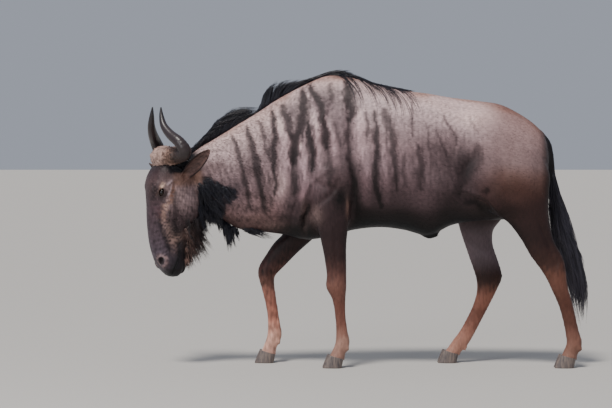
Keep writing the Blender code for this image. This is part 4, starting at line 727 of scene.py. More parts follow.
# dark bands of the coat: half breadth, darkness, and their line in x and z.
# Most are the coat's own stripes; those in the elbow crease, the hollow of the
# breast, the flank's hollow and round the flank fold are painted shade.
BANDS = (
    ("neck 1", 0.0067, 0.43, ((-0.702, 0.992), (-0.667, 0.927), (-0.634, 0.868))),
    ("neck 2", 0.0142, 0.86,
     ((-0.621, 1.064), (-0.598, 1.005), (-0.578, 0.94), (-0.559, 0.862), (-0.536, 0.744))),
    ("neck 3", 0.0192, 0.92,
     ((-0.556, 1.103), (-0.536, 1.038), (-0.513, 0.953), (-0.494, 0.849), (-0.468, 0.731))),
    ("neck 4", 0.0133, 0.76, ((-0.497, 1.136), (-0.477, 1.071), (-0.461, 1.005), (-0.445, 0.953))),
    ("neck 5", 0.0166, 0.97,
     ((-0.435, 1.182), (-0.426, 1.11), (-0.425, 1.005), (-0.432, 0.927), (-0.419, 0.803))),
    ("neck 6", 0.01, 0.49, ((-0.461, 0.901), (-0.445, 0.836), (-0.435, 0.744))),
    ("shoulder 1", 0.0184, 0.92, ((-0.383, 1.208), (-0.368, 1.149), (-0.357, 1.103), (-0.347, 1.058))),
    ("shoulder 2", 0.033, 1.0,
     ((-0.292, 1.273), (-0.29, 1.209), (-0.297, 1.163), (-0.3, 1.11), (-0.325, 1.06), (-0.336, 0.992),
      (-0.34, 0.95))),
    ("shoulder 2 low", 0.02, 0.8, ((-0.336, 0.985), (-0.342, 0.908), (-0.336, 0.81))),
    ("shoulder 3", 0.0235, 0.99,
     ((-0.262, 1.299), (-0.24, 1.256), (-0.212, 1.209), (-0.21, 1.163), (-0.201, 1.116),
      (-0.195, 1.07), (-0.188, 1.02))),
    ("shoulder 4", 0.0209, 1.0, ((-0.27, 1.129), (-0.258, 1.058), (-0.254, 0.979), (-0.252, 0.915))),
    ("shoulder 5", 0.0116, 0.7, ((-0.169, 1.312), (-0.161, 1.273), (-0.156, 1.227))),
    ("shoulder 6", 0.015, 0.65, ((-0.184, 1.031), (-0.175, 0.966), (-0.171, 0.901), (-0.174, 0.849))),
    ("shoulder 7", 0.0317, 1.0, ((-0.097, 1.309), (-0.089, 1.26), (-0.081, 1.208), (-0.079, 1.149))),
    ("shoulder 8", 0.0092, 0.59, ((-0.147, 1.136), (-0.138, 1.084), (-0.132, 1.025))),
    ("behind the shoulder", 0.0166, 0.81,
     ((-0.083, 1.149), (-0.089, 1.071), (-0.086, 0.992), (-0.066, 0.914), (-0.057, 0.849))),
    # painted shadow in the crease behind the elbow
    ("elbow crease", 0.0183, 1.0, ((-0.06, 0.888), (-0.05, 0.803), (-0.045, 0.718), (-0.05, 0.64))),
    # painted shade in the hollow of the breast
    ("hollow of the breast", 0.0104, 0.97, ((-0.273, 0.751), (-0.29, 0.699), (-0.299, 0.614))),
    ("rib 1", 0.01, 0.76, ((-0.017, 1.182), (-0.006, 1.129), (0.001, 1.071))),
    ("rib 2", 0.0166, 0.95,
     ((0.029, 1.182), (0.039, 1.11), (0.042, 1.031), (0.04, 0.94), (0.046, 0.862), (0.059, 0.744))),
    ("rib 3", 0.019, 0.84,
     ((0.08, 1.195), (0.09, 1.17), (0.108, 1.11), (0.122, 1.031), (0.127, 0.94), (0.134, 0.829))),
    ("rib 4", 0.0059, 0.59, ((0.065, 1.208), (0.08, 1.136), (0.089, 1.064), (0.096, 0.992))),
    ("rib 5", 0.0083, 0.59, ((0.172, 0.992), (0.175, 0.927), (0.181, 0.842))),
    ("rib 6", 0.0076, 0.65, ((0.202, 1.227), (0.205, 1.149), (0.2, 1.071))),
    ("rib 7", 0.0166, 0.7, ((0.224, 1.025), (0.235, 0.966), (0.241, 0.901), (0.243, 0.829))),
    ("rib 8", 0.0067, 0.49, ((0.266, 1.142), (0.279, 1.058), (0.285, 0.966), (0.29, 0.894))),
    ("loin 1", 0.0076, 0.6, ((0.323, 1.097), (0.342, 1.045), (0.362, 0.999), (0.372, 0.966))),
    ("loin 2", 0.0076, 0.65, ((0.356, 1.162), (0.382, 1.116), (0.401, 1.077), (0.416, 1.031))),
    ("loin 3", 0.0059, 0.38, ((0.473, 1.162), (0.499, 1.116), (0.513, 1.08))),
    # painted shade in the hollow of the flank
    ("flank", 0.033, 0.62,
     ((0.5, 1.018), (0.496, 0.966), (0.473, 0.924), (0.44, 0.878), (0.416, 0.816))),
    ("flank 2", 0.014, 0.25, ((0.444, 1.051), (0.422, 0.973), (0.408, 0.908))),
    # painted shade in the pit over the flank fold
    ("pit over the flank fold", 0.015, 0.75, ((0.543, 0.832), (0.547, 0.813))),
    # painted shade in the hollow under the flank fold
    ("under the flank fold", 0.0196, 0.76,
     ((0.447, 0.764), (0.499, 0.771), (0.538, 0.744), (0.577, 0.712))),
)
# pale ridges between the bands, partly the coat's pale hair and partly painted
# highlight on the folds there: half breadth, gain in lightness, and their line
RIDGES = (
    ("before shoulder 2", 0.02, 1.0,
     ((-0.395, 1.13), (-0.385, 1.07), (-0.375, 1.0), (-0.37, 0.93), (-0.375, 0.884), (-0.385, 0.837),
      (-0.388, 0.79), (-0.395, 0.74))),
    ("low neck", 0.014, 0.9, ((-0.432, 0.86), (-0.426, 0.79), (-0.427, 0.744), (-0.43, 0.69))),
    ("behind shoulder 2", 0.015, 1.2,
     ((-0.3, 1.04), (-0.292, 0.976), (-0.29, 0.93), (-0.282, 0.884), (-0.29, 0.837), (-0.3, 0.79))),
    ("before shoulder 3", 0.009, 0.9,
     ((-0.27, 1.256), (-0.25, 1.209), (-0.249, 1.163), (-0.234, 1.116), (-0.226, 1.07),
      (-0.219, 1.023), (-0.226, 0.977), (-0.215, 0.93))),
    ("behind shoulder 3", 0.013, 1.0,
     ((-0.18, 1.135), (-0.172, 1.105), (-0.16, 1.065), (-0.159, 1.02), (-0.16, 0.976), (-0.16, 0.94))),
    ("behind the shoulder", 0.02, 0.8,
     ((-0.045, 1.17), (-0.04, 1.116), (-0.033, 1.07), (-0.03, 1.02), (-0.02, 0.97), (-0.008, 0.92),
      (0.0, 0.86), (0.002, 0.76))),
    ("first ribs", 0.012, 0.6, ((0.075, 1.03), (0.078, 0.94), (0.085, 0.86), (0.09, 0.77))),
)
# soft patches: x, z, size along, size up, colour as seen, strength. Some are
# painted light: sheen on the loin and the rib tops, highlights on the fold
# before the arm and on the flap, and shade before the elbow, on the breast and
# in and about the flank's hollow.
PATCHES = (
    # painted sheen on the loin
    ("bright loin", 0.49, 1.165, 0.085, 0.05, (226, 192, 186), 0.6),
    ("dark crest of the shoulder", -0.165, 1.27, 0.048, 0.036, (112, 90, 90), 0.5),
    # painted sheen on the tops of the ribs
    ("bright rib tops", 0.06, 1.23, 0.12, 0.04, (208, 184, 184), 0.4),
    ("dark upper arm", -0.13, 0.85, 0.075, 0.1, (60, 44, 44), 0.6),
    ("dark edge of the shoulder", -0.105, 1.01, 0.035, 0.11, (66, 51, 54), 0.5),
    ("dark top of the shoulder", -0.215, 1.225, 0.085, 0.06, (80, 64, 68), 0.9),
    ("dark middle of the shoulder", -0.12, 1.13, 0.058, 0.08, (88, 72, 76), 0.65),
    # painted shade before the elbow
    ("dark before the elbow", -0.12, 0.785, 0.055, 0.06, (16, 13, 13), 0.9),
    ("pale shoulder point", -0.236, 0.708, 0.028, 0.04, (150, 124, 120), 0.5),
    ("dark between the neck bands", -0.548, 0.915, 0.03, 0.055, (80, 64, 66), 0.6),
    ("dark lower flank", 0.4, 0.79, 0.11, 0.06, (34, 25, 25), 0.6),
    ("red thigh", 0.7, 0.8, 0.055, 0.045, (76, 52, 47), 0.5),
    ("dark lower thigh", 0.64, 0.72, 0.07, 0.03, (36, 23, 21), 0.7),
    # painted shade on the breast
    ("dark breast", -0.37, 0.69, 0.07, 0.035, (66, 50, 51), 0.35),
    ("pale breast", -0.44, 0.66, 0.05, 0.02, (128, 102, 98), 0.45),
    ("pale lower neck", -0.52, 0.69, 0.06, 0.022, (116, 90, 84), 0.4),
    # painted highlight on the fold before the arm
    ("fold before the arm", -0.29, 0.7, 0.012, 0.06, (150, 124, 120), 0.55),
    ("dark before shoulder 2", -0.35, 1.18, 0.046, 0.056, (76, 60, 64), 0.72),
    ("dusk behind the black", -0.605, 0.835, 0.048, 0.04, (50, 42, 47), 0.65),
    # painted highlight on the flap before the crease
    ("flap", -0.09, 0.74, 0.008, 0.045, (124, 94, 84), 0.5),
    # painted shade in the hollow of the flank
    ("hollow of the flank", 0.455, 0.935, 0.048, 0.088, (34, 26, 28), 0.8),
    ("dark behind the ribs", 0.31, 1.01, 0.115, 0.105, (70, 56, 59), 0.55),
    # painted shade in the flank
    ("dark flank", 0.39, 0.925, 0.085, 0.085, (40, 30, 31), 0.72),
    ("dark over the elbow", -0.06, 0.905, 0.05, 0.06, (40, 30, 31), 0.55),
    ("dark behind the shoulder's top", -0.085, 1.235, 0.042, 0.055, (96, 78, 81), 0.45),
    ("dark foot of the ribs", 0.112, 0.885, 0.04, 0.055, (56, 43, 45), 0.45),
    ("dark throat side", -0.445, 0.96, 0.03, 0.05, (92, 74, 77), 0.3),
    ("dark edge of the buttock", 0.84, 0.96, 0.045, 0.2, (44, 30, 28), 0.7),
    ("pale low neck", -0.405, 0.85, 0.04, 0.06, (176, 150, 148), 0.45),
)
# the black of the neck's side, partly black hair and partly the head's painted
# shadow, lies below this edge: x, z
BLACK_HAIR_AND_SHADOW_EDGE = ((-0.860, 0.930), (-0.769, 0.903), (-0.721, 0.884), (-0.670, 0.860), (-0.600, 0.830))
# the tan streak and the dark one beside the nose, and the shade on the jaw: y and z
TAN_STREAK = ((-0.144, 0.056), (-0.095, 0.047), (-0.079, 0.015), (-0.069, -0.025), (-0.042, -0.057),
              (-0.032, -0.085), (-0.035, -0.129), (-0.051, -0.173), (-0.067, -0.217), (-0.081, -0.265))
DARK_STREAK = ((-0.012, -0.100), (-0.016, -0.150), (-0.034, -0.200), (-0.050, -0.250))
JAW_SHADE = ((-0.088, 0.010), (-0.092, -0.060), (-0.080, -0.150), (-0.090, -0.230))
# share of the tan streak's length, then the colour
STREAK_COLOURS = ((0.0, 124, 94, 80), (0.28, 128, 94, 80), (0.42, 206, 166, 148), (0.56, 176, 140, 126),
                  (0.72, 164, 136, 128), (0.86, 138, 112, 106), (1.0, 110, 90, 88))
# small marks of the face: half breadth, colour, share, and their line in y and z.
# The pale marks over and behind the eye and over the temple are painted highlights.
FACE_MARKS = (
    # painted highlight on the brow over the eye
    ("over the eye", 0.008, (240, 202, 178), 0.8, ((-0.036, 0.05), (-0.027, 0.036))),
    ("before the eye", 0.006, (168, 130, 116), 0.6, ((-0.024, 0.03), (-0.01, 0.006))),
    # painted highlight behind the eye
    ("behind the eye", 0.005, (204, 180, 184), 0.75,
     ((-0.078, 0.044), (-0.07, 0.02), (-0.056, -0.003))),
    # painted highlight on the ridge over the temple
    ("over the temple", 0.006, (206, 180, 184), 0.6, ((-0.08, 0.06), (-0.058, 0.048))),
    ("tan before the cheek", 0.009, (150, 106, 86), 0.55,
     ((-0.082, 0.04), (-0.078, 0.004), (-0.066, -0.03))),
    ("pale low cheek", 0.016, (150, 122, 112), 0.55, ((-0.07, -0.215), (-0.105, -0.205))),
    ("dark before the brow", 0.012, (26, 21, 24), 0.8, ((-0.002, 0.05), (0.004, -0.012))),
    ("dark under the eye", 0.008, (50, 40, 44), 0.6, ((-0.02, -0.02), (-0.046, -0.036))),
    ("reddish nose side", 0.014, (74, 48, 52), 0.55, ((-0.01, -0.062), (-0.014, -0.095))),
)


def waves(points, length, seed):
    """Soft noise: the sum of nine sines along random ways, whose lengths
    run from length down to a third of it, over their number's square root."""
    draw = np.random.default_rng(seed)
    ways = unit(draw.normal(size=(9, 3))) * draw.uniform(1.0, 3.0, (9, 1)) * 2 * math.pi / length
    return np.sin(points @ ways.T + draw.uniform(0.0, 2 * math.pi, 9)).sum(axis=1) / 3.0


def ramp(table, at):
    """Colours read from a table along one measure, as linear light."""
    table = np.array(table, dtype=float)
    seen = np.stack([np.interp(at, table[:, 0], column) for column in table[:, 1:].T], axis=-1)
    return (seen / 255.0) ** 2.2


def tint(*seen):
    return (np.array(seen) / 255.0) ** 2.2


def mixed(colours, other, share):
    return colours + (other - colours) * np.asarray(share)[..., None]


def height_on(line, x):
    """The height of a line of the side view at x."""
    return np.interp(x, line[:, 0], line[:, 1])


def height_share(points):
    """How far up the trunk: 0 on the line of the belly, 1 on that of the back."""
    low = height_on(LOW_LINE, points[:, 0])
    return (points[:, 2] - low) / (height_on(TOP_LINE, points[:, 0]) - low)


def leg_outline(leg, z):
    """The x of a leg's front and of its back at heights z."""
    table = numbers(leg)[::-1]
    level = (table[:, 1] + table[:, 3]) / 2
    return np.interp(z, level, table[:, 0]), np.interp(z, level, table[:, 2])


def leg_share(points):
    """How much a point belongs to a leg, and whether to a hind leg."""
    x, y, z = points.T
    share = np.zeros(len(points))
    for leg in LEGS:
        front, back = leg_outline(leg, z)
        within = ease(x, front - 0.045, front + 0.015) * ease(-x, -back - 0.045, -back + 0.015)
        within *= ease(y * np.sign(numbers(leg)[-1, 5]), 0.035, 0.080) * ease(-z, -0.90, -0.68)
        share = np.maximum(share, within)
    return np.maximum(share, ease(-z, -0.60, -0.52)), ease(x, 0.10, 0.30)


def head_share(points):
    """1 on the head, 0 on the neck behind the jaw."""
    place = to_head(points)
    behind = ease(place[:, 1], -0.250, -0.205) * ease(-place[:, 2], -0.215, -0.170)
    head = behind * ease(-points[:, 0], 0.735, 0.775)
    for ear in EARS:
        head = np.maximum(head, ear_place(points, ear)[3])
    return head


def ear_place(points, ear):
    """Where a point is on an ear: share of the length, share of the half
    roll from the middle of the leaf to its rim, the way the ear runs, and a
    share that is 1 on the leaf itself and 0 away from it."""
    base, length, along, opening, across = ear_axes(ear)
    away = to_head(points) - base
    share = np.clip((away @ along) / length, 0.0, 1.0)
    leaf = numbers(EAR_LEAF)
    half = np.interp(share, leaf[:, 0], leaf[:, 1])
    half_roll = np.radians(np.interp(share, leaf[:, 0], leaf[:, 2])) / 2
    centred = away - along * (away @ along)[:, None] - opening * (half / half_roll)[:, None]
    angle = np.arctan2(centred @ across, -(centred @ opening))
    turn = np.abs(angle) / half_roll
    off = np.abs(np.hypot(centred @ across, centred @ opening) - half / half_roll)
    on_leaf = ease(-off, -0.016, -0.010) * ease(share, 0.10, 0.22) * ease(-turn, -1.35, -1.15)
    return share, turn, along, on_leaf


def head_colours(points, normals):
    """The face: slate in front, mottled grey-brown on the cheek, black lips."""
    place = to_head(points)
    x, y, z = place.T
    side_view = place[:, 1:3]
    front = ease(y, -0.062, -0.012)
    colours = mixed(ramp(FACE_SIDE, z), ramp(FACE_FRONT, z), front)
    mottle = waves(points, 0.028, 3) * (1 - front) * ease(-np.abs(z + 0.02), -0.16, -0.06)
    colours *= (1 + 0.26 * mottle)[:, None]
    slate = waves(points, 0.045, 36) * front * ease(-z, -0.02, 0.08)
    colours *= (1 + 0.30 * slate)[:, None]
    jaw_hair = ease(-y, 0.105, 0.150) * ease(-np.abs(z + 0.225), -0.060, -0.030)
    colours = mixed(colours, tint(140, 106, 96), 0.75 * jaw_hair)
    chin = ease(-y, 0.085, 0.120) * ease(-z, 0.170, 0.240)
    colours = mixed(colours, tint(30, 26, 28), 0.8 * chin)
    near, _ = off_line(side_view, JAW_SHADE)
    colours = mixed(colours, tint(34, 26, 28), 0.60 * bell(near, 0.013))
    clouds = ease(waves(points, 0.055, 27), 0.1, 1.1) * ease(-z, 0.02, 0.09) * (1 - front)
    colours = mixed(colours, tint(34, 26, 27), 0.65 * clouds)
    near, _ = off_line(side_view, DARK_STREAK)
    colours = mixed(colours, tint(28, 24, 30), 0.75 * bell(near, 0.010))
    near, down = off_line(side_view, TAN_STREAK)
    broken = np.clip(0.72 + 0.55 * waves(points, 0.026, 24), 0.1, 1.0)
    wide = 0.0095 + 0.0085 * down + 0.0045 * waves(points, 0.045, 29)
    streak = bell(near, np.maximum(wide, 0.004)) * broken
    colours = mixed(colours, ramp(STREAK_COLOURS, down), 0.70 * streak)
    # small marks of the face, among them painted highlights about the eye
    for _, breadth, seen, share, line in FACE_MARKS:
        near, _ = off_line(side_view, line)
        colours = mixed(colours, tint(*seen), share * bell(near, breadth) * broken)
    ear_foot = ease(-y, 0.075, 0.105) * ease(-np.abs(z - 0.070), -0.052, -0.022)
    colours = mixed(colours, tint(134, 102, 90), 0.70 * ear_foot)
    near = np.linalg.norm(np.stack([np.abs(x) - 0.052, z - 0.002], axis=-1), axis=1)
    colours = mixed(colours, tint(48, 38, 42), 0.7 * bell(near, 0.010) * front)
    for side in (-1, 1):
        near = np.linalg.norm(place - on_side(EYE_AT, side), axis=1)
        colours = mixed(colours, tint(52, 43, 44), 0.8 * bell(np.maximum(near - 0.024, 0), 0.006))
        near = np.linalg.norm(place - on_side(NOSTRIL_AT, side), axis=1)
        colours = mixed(colours, tint(150, 124, 122), 0.7 * bell(near - 0.027, 0.008) * broken)
        colours = mixed(colours, tint(30, 22, 22), 0.9 * ease(-near, -0.0205, -0.0165))
    near, _ = off_line(side_view, MOUTH_LINE)
    colours = mixed(colours, tint(20, 19, 21), 0.9 * bell(near, 0.013))
    # the crown under the horns near black: partly black hair, partly painted shade under the horns
    crown = ease(z, 0.088, 0.102) * ease(-y, 0.058, 0.080)
    colours = mixed(colours, tint(18, 16, 22), 0.92 * crown)
    fine = waves(points * (1.0, 1.0, 0.35), 0.014, 28)
    colours *= (1 + 0.10 * fine)[:, None]
    specks = ease(waves(points, 0.012, 25), 0.9, 1.6) * ease(z, -0.34, -0.10)
    colours = mixed(colours, tint(150, 132, 132), 0.22 * specks)
    for ear in EARS:
        share, turn, _, on_ear = ear_place(points, ear)
        inside = (normals @ HEAD_FRAME[:3, :3]) @ unit(np.array(ear[2]))
        outside = tint(122, 92, 80) * (1 - 0.60 * share)[:, None]
        leaf = mixed(outside, tint(92, 72, 68), ease(inside, -0.1, 0.4))
        leaf *= (1 + 0.35 * waves(points, 0.030, 26))[:, None]
        leaf = mixed(leaf, tint(34, 27, 27), 0.85 * ease(turn, 0.62, 0.92))
        colours = mixed(colours, leaf, on_ear)
    return colours


def black_hair_and_head_shadow(points):
    """1 on the black lower side of the neck, partly black hair and partly the head's painted shadow, 0
    elsewhere, with a soft edge.
    """
    x, _, z = points.T
    below = height_on(np.array(BLACK_HAIR_AND_SHADOW_EDGE), x) - z + 0.010 * waves(points, 0.05, 19)
    ragged = 0.010 * waves(points, 0.04, 20)
    lower = z - np.interp(x, (-0.760, -0.668, -0.648, -0.600), (0.650, 0.695, 0.748, 0.780)) + ragged
    return ease(below, -0.006, 0.022) * ease(ragged - x, 0.590, 0.606) * ease(lower, -0.012, 0.010)


def coat_colours(points, normals):
    """The whole coat's colour at points of the skin, as linear light."""
    x, y, z = points.T
    # the height ramps paint the back partly as lit from above and the belly partly in shade
    up = height_share(points) + 0.030 * waves(points, 0.30, 7)
    colours = mixed(ramp(BARREL, up), ramp(RUMP, up), ease(x, 0.42, 0.66))
    colours = mixed(colours, ramp(NECK, up), ease(-x, 0.33, 0.50))
    mane_root = ease(up, 0.990, 1.020) * ease(-x, -0.14, -0.04)
    colours = mixed(colours, tint(52, 43, 45), 0.80 * mane_root)
    legs, hind = leg_share(points)
    far_side = ease(y, -0.02, 0.02)
    dusk = z + 0.016 * waves(points * (3.0, 3.0, 0.6), 0.07, 17)
    far = dusk + 0.095 * ease(z, 0.18, 0.30) * far_side
    shade = mixed(ramp(FORELEG_COLOURS, dusk), ramp(HINDLEG_COLOURS, far), hind)
    # the far lower legs painted lighter, as if lit by the sun
    shade *= (1 + 1.10 * far_side * ease(-z, -0.40, -0.30))[:, None]
    # a painted grey sheen on the far thigh
    grey = far_side * hind * ease(-np.abs(z - 0.56), -0.16, -0.04)
    shade = mixed(shade, tint(126, 110, 116), 0.62 * grey)
    # the legs' inner faces, near the body's middle, darkened as painted shade between the legs
    inner = 1 - 0.30 * ease(-np.abs(y), -0.115, -0.075)
    colours = mixed(colours, shade * inner[:, None], legs)
    mottled = 1 + 0.12 * waves(points, 0.050, 16)
    # soft patches, some of them painted sheen, highlights or shade
    for _, at_x, at_z, size_x, size_z, seen, share in PATCHES:
        near = np.exp(-((x - at_x) / size_x) ** 2 - ((z - at_z) / size_z) ** 2)
        colours = mixed(colours, tint(*seen), np.clip(share * near * mottled, 0.0, 1.0))
    streaks = waves(points * (5.0, 5.0, 0.8), 0.13, 14)
    colours *= (1 + 0.19 * streaks * ease(up, 0.12, 0.30) * ease(-x, -0.62, -0.42))[:, None]
    fine = waves(points * (7.0, 5.0, 1.2), 0.11, 24) * ease(up, 0.06, 0.20) * ease(-x, 0.10, 0.32)
    blotch = waves(points * (1.6, 1.0, 0.8), 0.050, 25) * ease(-x, 0.27, 0.34) * ease(-z, -0.82, -0.72)
    colours *= (1 + 0.15 * fine + 0.30 * blotch)[:, None]
    wobble = 0.005 * waves(points, 0.20, 11) + 0.004 * np.sign(y) * waves(points, 0.5, 12)
    ragged = 1 + 0.20 * waves(points * (2.0, 1.0, 0.6), 0.07, 13)
    hairy = 1 + 0.25 * waves(points * (6.0, 3.0, 0.7), 0.06, 15)
    side_view = np.stack([x + wobble, z], axis=-1)
    # pale ridges, partly painted highlight on the folds between the bands
    for _, breadth, gain, line in RIDGES:
        near, _ = off_line(side_view, line)
        colours *= (1 + gain * bell(near * hairy, breadth))[:, None]
    colours = np.minimum(colours, tint(216, 187, 183))
    # dark bands, some of them painted shade in creases and hollows
    for _, breadth, depth, line in BANDS:
        near, share = off_line(side_view, line)
        taper = breadth * (1 - 0.45 * np.abs(2 * share - 1) ** 3) * ragged
        soft = 1 - ease(near * hairy, 0.30 * taper, 1.55 * taper)
        dark = 0.95 * depth * soft * (1 - 0.7 * legs * (breadth > 0.0186))
        band = mixed(tint(20, 14, 14) + 0 * colours, tint(40, 28, 31), ease(up, 0.2, 0.8))
        colours = mixed(colours, band, dark)
    behind = ease(x, 0.790, 0.850) * ease(z, 0.74, 0.86)
    colours *= (1 - 0.62 * behind)[:, None]
    # black hair and the head's painted shadow on the lower side of the neck
    colours = mixed(colours, tint(28, 26, 33), 0.95 * black_hair_and_head_shadow(points))
    dock = through(numbers(DOCK)[:, 0:2], 4)
    near, down = off_line(points[:, (0, 2)], dock)
    tail = ease(-near, -0.030, -0.022) * ease(-np.abs(y), -0.030, -0.024) * ease(down, 0.03, 0.10)
    colours = mixed(colours, tint(26, 22, 25), tail)
    colours = mixed(colours, head_colours(points, normals), head_share(points))
    return np.clip(colours * (1 + 0.07 * waves(points, 0.045, 23))[:, None], 0.002, 1.0)


def colour_attribute(mesh, colours):
    """Store one colour a vertex under the name the coat's material reads."""
    layer = mesh.color_attributes.new("coat_colour", "FLOAT_COLOR", "POINT")
    rgba = np.concatenate([colours, np.ones((len(colours), 1))], axis=1).astype(np.float32)
    layer.data.foreach_set("color", rgba.ravel())


def number_attribute(mesh, name, values):
    """Store one number a vertex under a name that a material reads."""
    layer = mesh.attributes.new(name, "FLOAT", "POINT")
    layer.data.foreach_set("value", values.astype(np.float32))


def smooth(mesh):
    mesh.polygons.foreach_set("use_smooth", np.ones(len(mesh.polygons), dtype=bool))
    mesh.update()


def finished(name, mesh, material):
    """A smooth piece of one material."""
    smooth(mesh)
    mesh.materials.append(material)
    return placed(name, mesh)


def coat_depth(points):
    """How far the skin lies in from the coat: less on face, ears and legs."""
    place = to_head(points)
    depth = COAT_DEPTH * (1 - 0.45 * ease(-points[:, 2], -0.60, -0.45))
    head = head_share(points)
    depth = depth * (1 - head) + FACE_DEPTH * head
    ears = head * ease(np.abs(place[:, 0]), 0.080, 0.100)
    depth = depth * (1 - ears) + EAR_DEPTH * ears
    for side in (-1, 1):
        for hole, reach in ((EYE_AT, 0.036), (NOSTRIL_AT, 0.028)):
            near = np.linalg.norm(place - on_side(hole, side), axis=1)
            depth = depth * ease(near, reach * 0.75, reach)
    near, _ = off_line(place[:, 1:3], MOUTH_LINE)
    return depth * (1 - head * ease(-near, -0.012, -0.006))


def foot_plane(x, leg):
    """The height of the coronet, which slopes down from the toe to the heel."""
    front_x, _, back_x = numbers(leg)[-1][:3]
    return FOOT_FRONT_Z + (FOOT_BACK_Z - FOOT_FRONT_Z) * (x - front_x) / (back_x - front_x)


points = points_of(skin.data)
normals = points_of(skin.data, "normal")
points = points - normals * coat_depth(points)[:, None]
for leg in LEGS:
    front_x, _, back_x, _, _, foot_y = numbers(leg)[-1]
    foot = np.abs(points[:, 0] - (front_x + back_x) / 2) < FOOT_REACH
    foot &= (points[:, 1] * foot_y > 0) & (points[:, 2] < FOOT_REACH)
    lowest = foot_plane(points[foot, 0], leg) - 0.004
    points[foot, 2] = np.maximum(points[foot, 2], lowest)
set_points(skin.data, points)
parted = bmesh.new()
parted.from_mesh(skin.data)
bmesh.ops.triangulate(parted, faces=parted.faces)
parted.to_mesh(skin.data)
SKIN_TREE = BVHTree.FromBMesh(parted)
parted.free()
SKIN_POINTS = points_of(skin.data)
SKIN_NORMALS = points_of(skin.data, "normal")
colour_attribute(skin.data, coat_colours(SKIN_POINTS, SKIN_NORMALS))
number_attribute(skin.data, "hangs_down",
                 np.maximum(leg_share(SKIN_POINTS)[0], head_share(SKIN_POINTS)))
smooth(skin.data)


def node_tree(name):
    """A new material with its nodes and its shader."""
    made = bpy.data.materials.new(name)
    made.use_nodes = True
    return made, made.node_tree.nodes, made.node_tree.nodes["Principled BSDF"]


def set_sockets(made, **values):
    """Set a node's sockets by their names, with _ for each space."""
    for name, value in values.items():
        made.inputs[name.replace("_", " ")].default_value = value
    return made


def new_node(nodes, kind, operation=None, **values):
    made = nodes.new("ShaderNode" + kind)
    if operation:
        made.operation = operation
    return set_sockets(made, **values)


def feed(source, out, target, into):
    """Link an output of one node to an input of another."""
    target.id_data.links.new(source.outputs[out], target.inputs[into])


def reader(nodes, name):
    """A node that reads one of the mesh's own attributes."""
    made = nodes.new("ShaderNodeAttribute")
    made.attribute_name = name
    return made


def drawn_out_noise(nodes, stretch, **values):
    """Noise over the object's own coordinates, finer along each by the stretch."""
    place = new_node(nodes, "TexCoord")
    scaled = new_node(nodes, "Mapping", Scale=stretch)
    noise = new_node(nodes, "TexNoise", Scale=1.0, **values)
    feed(place, "Object", scaled, "Vector")
    feed(scaled, "Vector", noise, "Vector")
    return noise


def grain_group():
    """Short hair as relief: two noises drawn out along the lie of the coat,
    one for the trunk and one for legs and head, mixed by the given share."""
    group = bpy.data.node_groups.new("lie of the coat", "ShaderNodeTree")
    group.interface.new_socket("Hangs Down", in_out="INPUT", socket_type="NodeSocketFloat")
    group.interface.new_socket("Height", in_out="OUTPUT", socket_type="NodeSocketFloat")
    nodes = group.nodes
    given = nodes.new("NodeGroupInput")
    result = nodes.new("NodeGroupOutput")
    mix = new_node(nodes, "Mix")
    for stretch, socket in (((34, 210, 150), "A"), ((230, 230, 30), "B")):
        noise = drawn_out_noise(nodes, stretch, Detail=3.0, Distortion=0.6)
        feed(noise, "Fac", mix, socket)
    feed(given, "Hangs Down", mix, "Factor")
    feed(mix, "Result", result, "Height")
    return group


def coat_material():
    """Short sleek hair: painted colour, darker in the hollows of the grain."""
    made, nodes, shader = node_tree("short sleek coat")
    colour = reader(nodes, "coat_colour")
    hangs = reader(nodes, "hangs_down")
    relief = new_node(nodes, "Group")
    relief.node_tree = grain_group()
    bump = new_node(nodes, "Bump", Strength=0.40, Distance=0.0016)
    dark = new_node(nodes, "MapRange", From_Min=0.30, From_Max=0.70, To_Min=0.84, To_Max=1.12)
    shaded = new_node(nodes, "VectorMath", "SCALE")
    feed(hangs, "Fac", relief, "Hangs Down")
    feed(relief, "Height", bump, "Height")
    feed(bump, "Normal", shader, "Normal")
    feed(relief, "Height", dark, "Value")
    feed(colour, "Color", shaded, 0)
    feed(dark, "Result", shaded, "Scale")
    feed(shaded, "Vector", shader, "Base Color")
    set_sockets(shader, Roughness=0.52, Specular_IOR_Level=0.24, Sheen_Weight=0.03,
                Sheen_Roughness=0.45, Sheen_Tint=(0.75, 0.82, 1.0, 1.0))
    return made


COAT = coat_material()
skin.data.materials.clear()
skin.data.materials.append(COAT)
skin.data.transform(Matrix.Translation(HOME))
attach(skin, "root")
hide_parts("torso", "neck", "head", "ear_left", "ear_right", "foreleg_left", "foreleg_right",
            "hindleg_left", "hindleg_right", "tail")

# The short coat: many thin bent tufts set on the skin, which lie back along
# the trunk and down the legs and the face. Each is a closed blade of twelve
# triangles in the skin's own colours, joined into one mesh a region.
FUR_COUNT = 62000
FUR_SEED = 21
# region: share of the blades, blade length, breadth, lift of the tip
FUR = {
    "fur of the head": (0.16, 0.0075, 0.0012, 0.09),
    "fur of the neck": (0.15, 0.0150, 0.0016, 0.08),
    "fur of the shoulders": (0.17, 0.0130, 0.0013, 0.03),
    "fur of the ribs": (0.20, 0.0130, 0.0013, 0.03),
    "fur of the rump": (0.15, 0.0120, 0.0013, 0.03),
    "fur of the forelegs": (0.085, 0.0080, 0.0013, 0.06),
    "fur of the hind legs": (0.085, 0.0080, 0.0013, 0.06),
}
# x where the neck, the shoulders and the ribs end, and the height of the legs
NECK_END = -0.42
SHOULDERS_END = -0.02
RIBS_END = 0.42
LEGS_TOP = 0.66
# no tufts below this height or this near to eye, nostril and mouth line
BARE_FOOT = 0.035
BARE_EYE = 0.0275
BARE_NOSTRIL = 0.024
BARE_LIP = 0.006
BLADE_FACES = 12
BLADE_SINK = 0.0012
BLADE_BEND = 0.45       # share of the length at which a blade bends
BLADE_FLATNESS = 0.09
BAKE_PATCH = 0.003


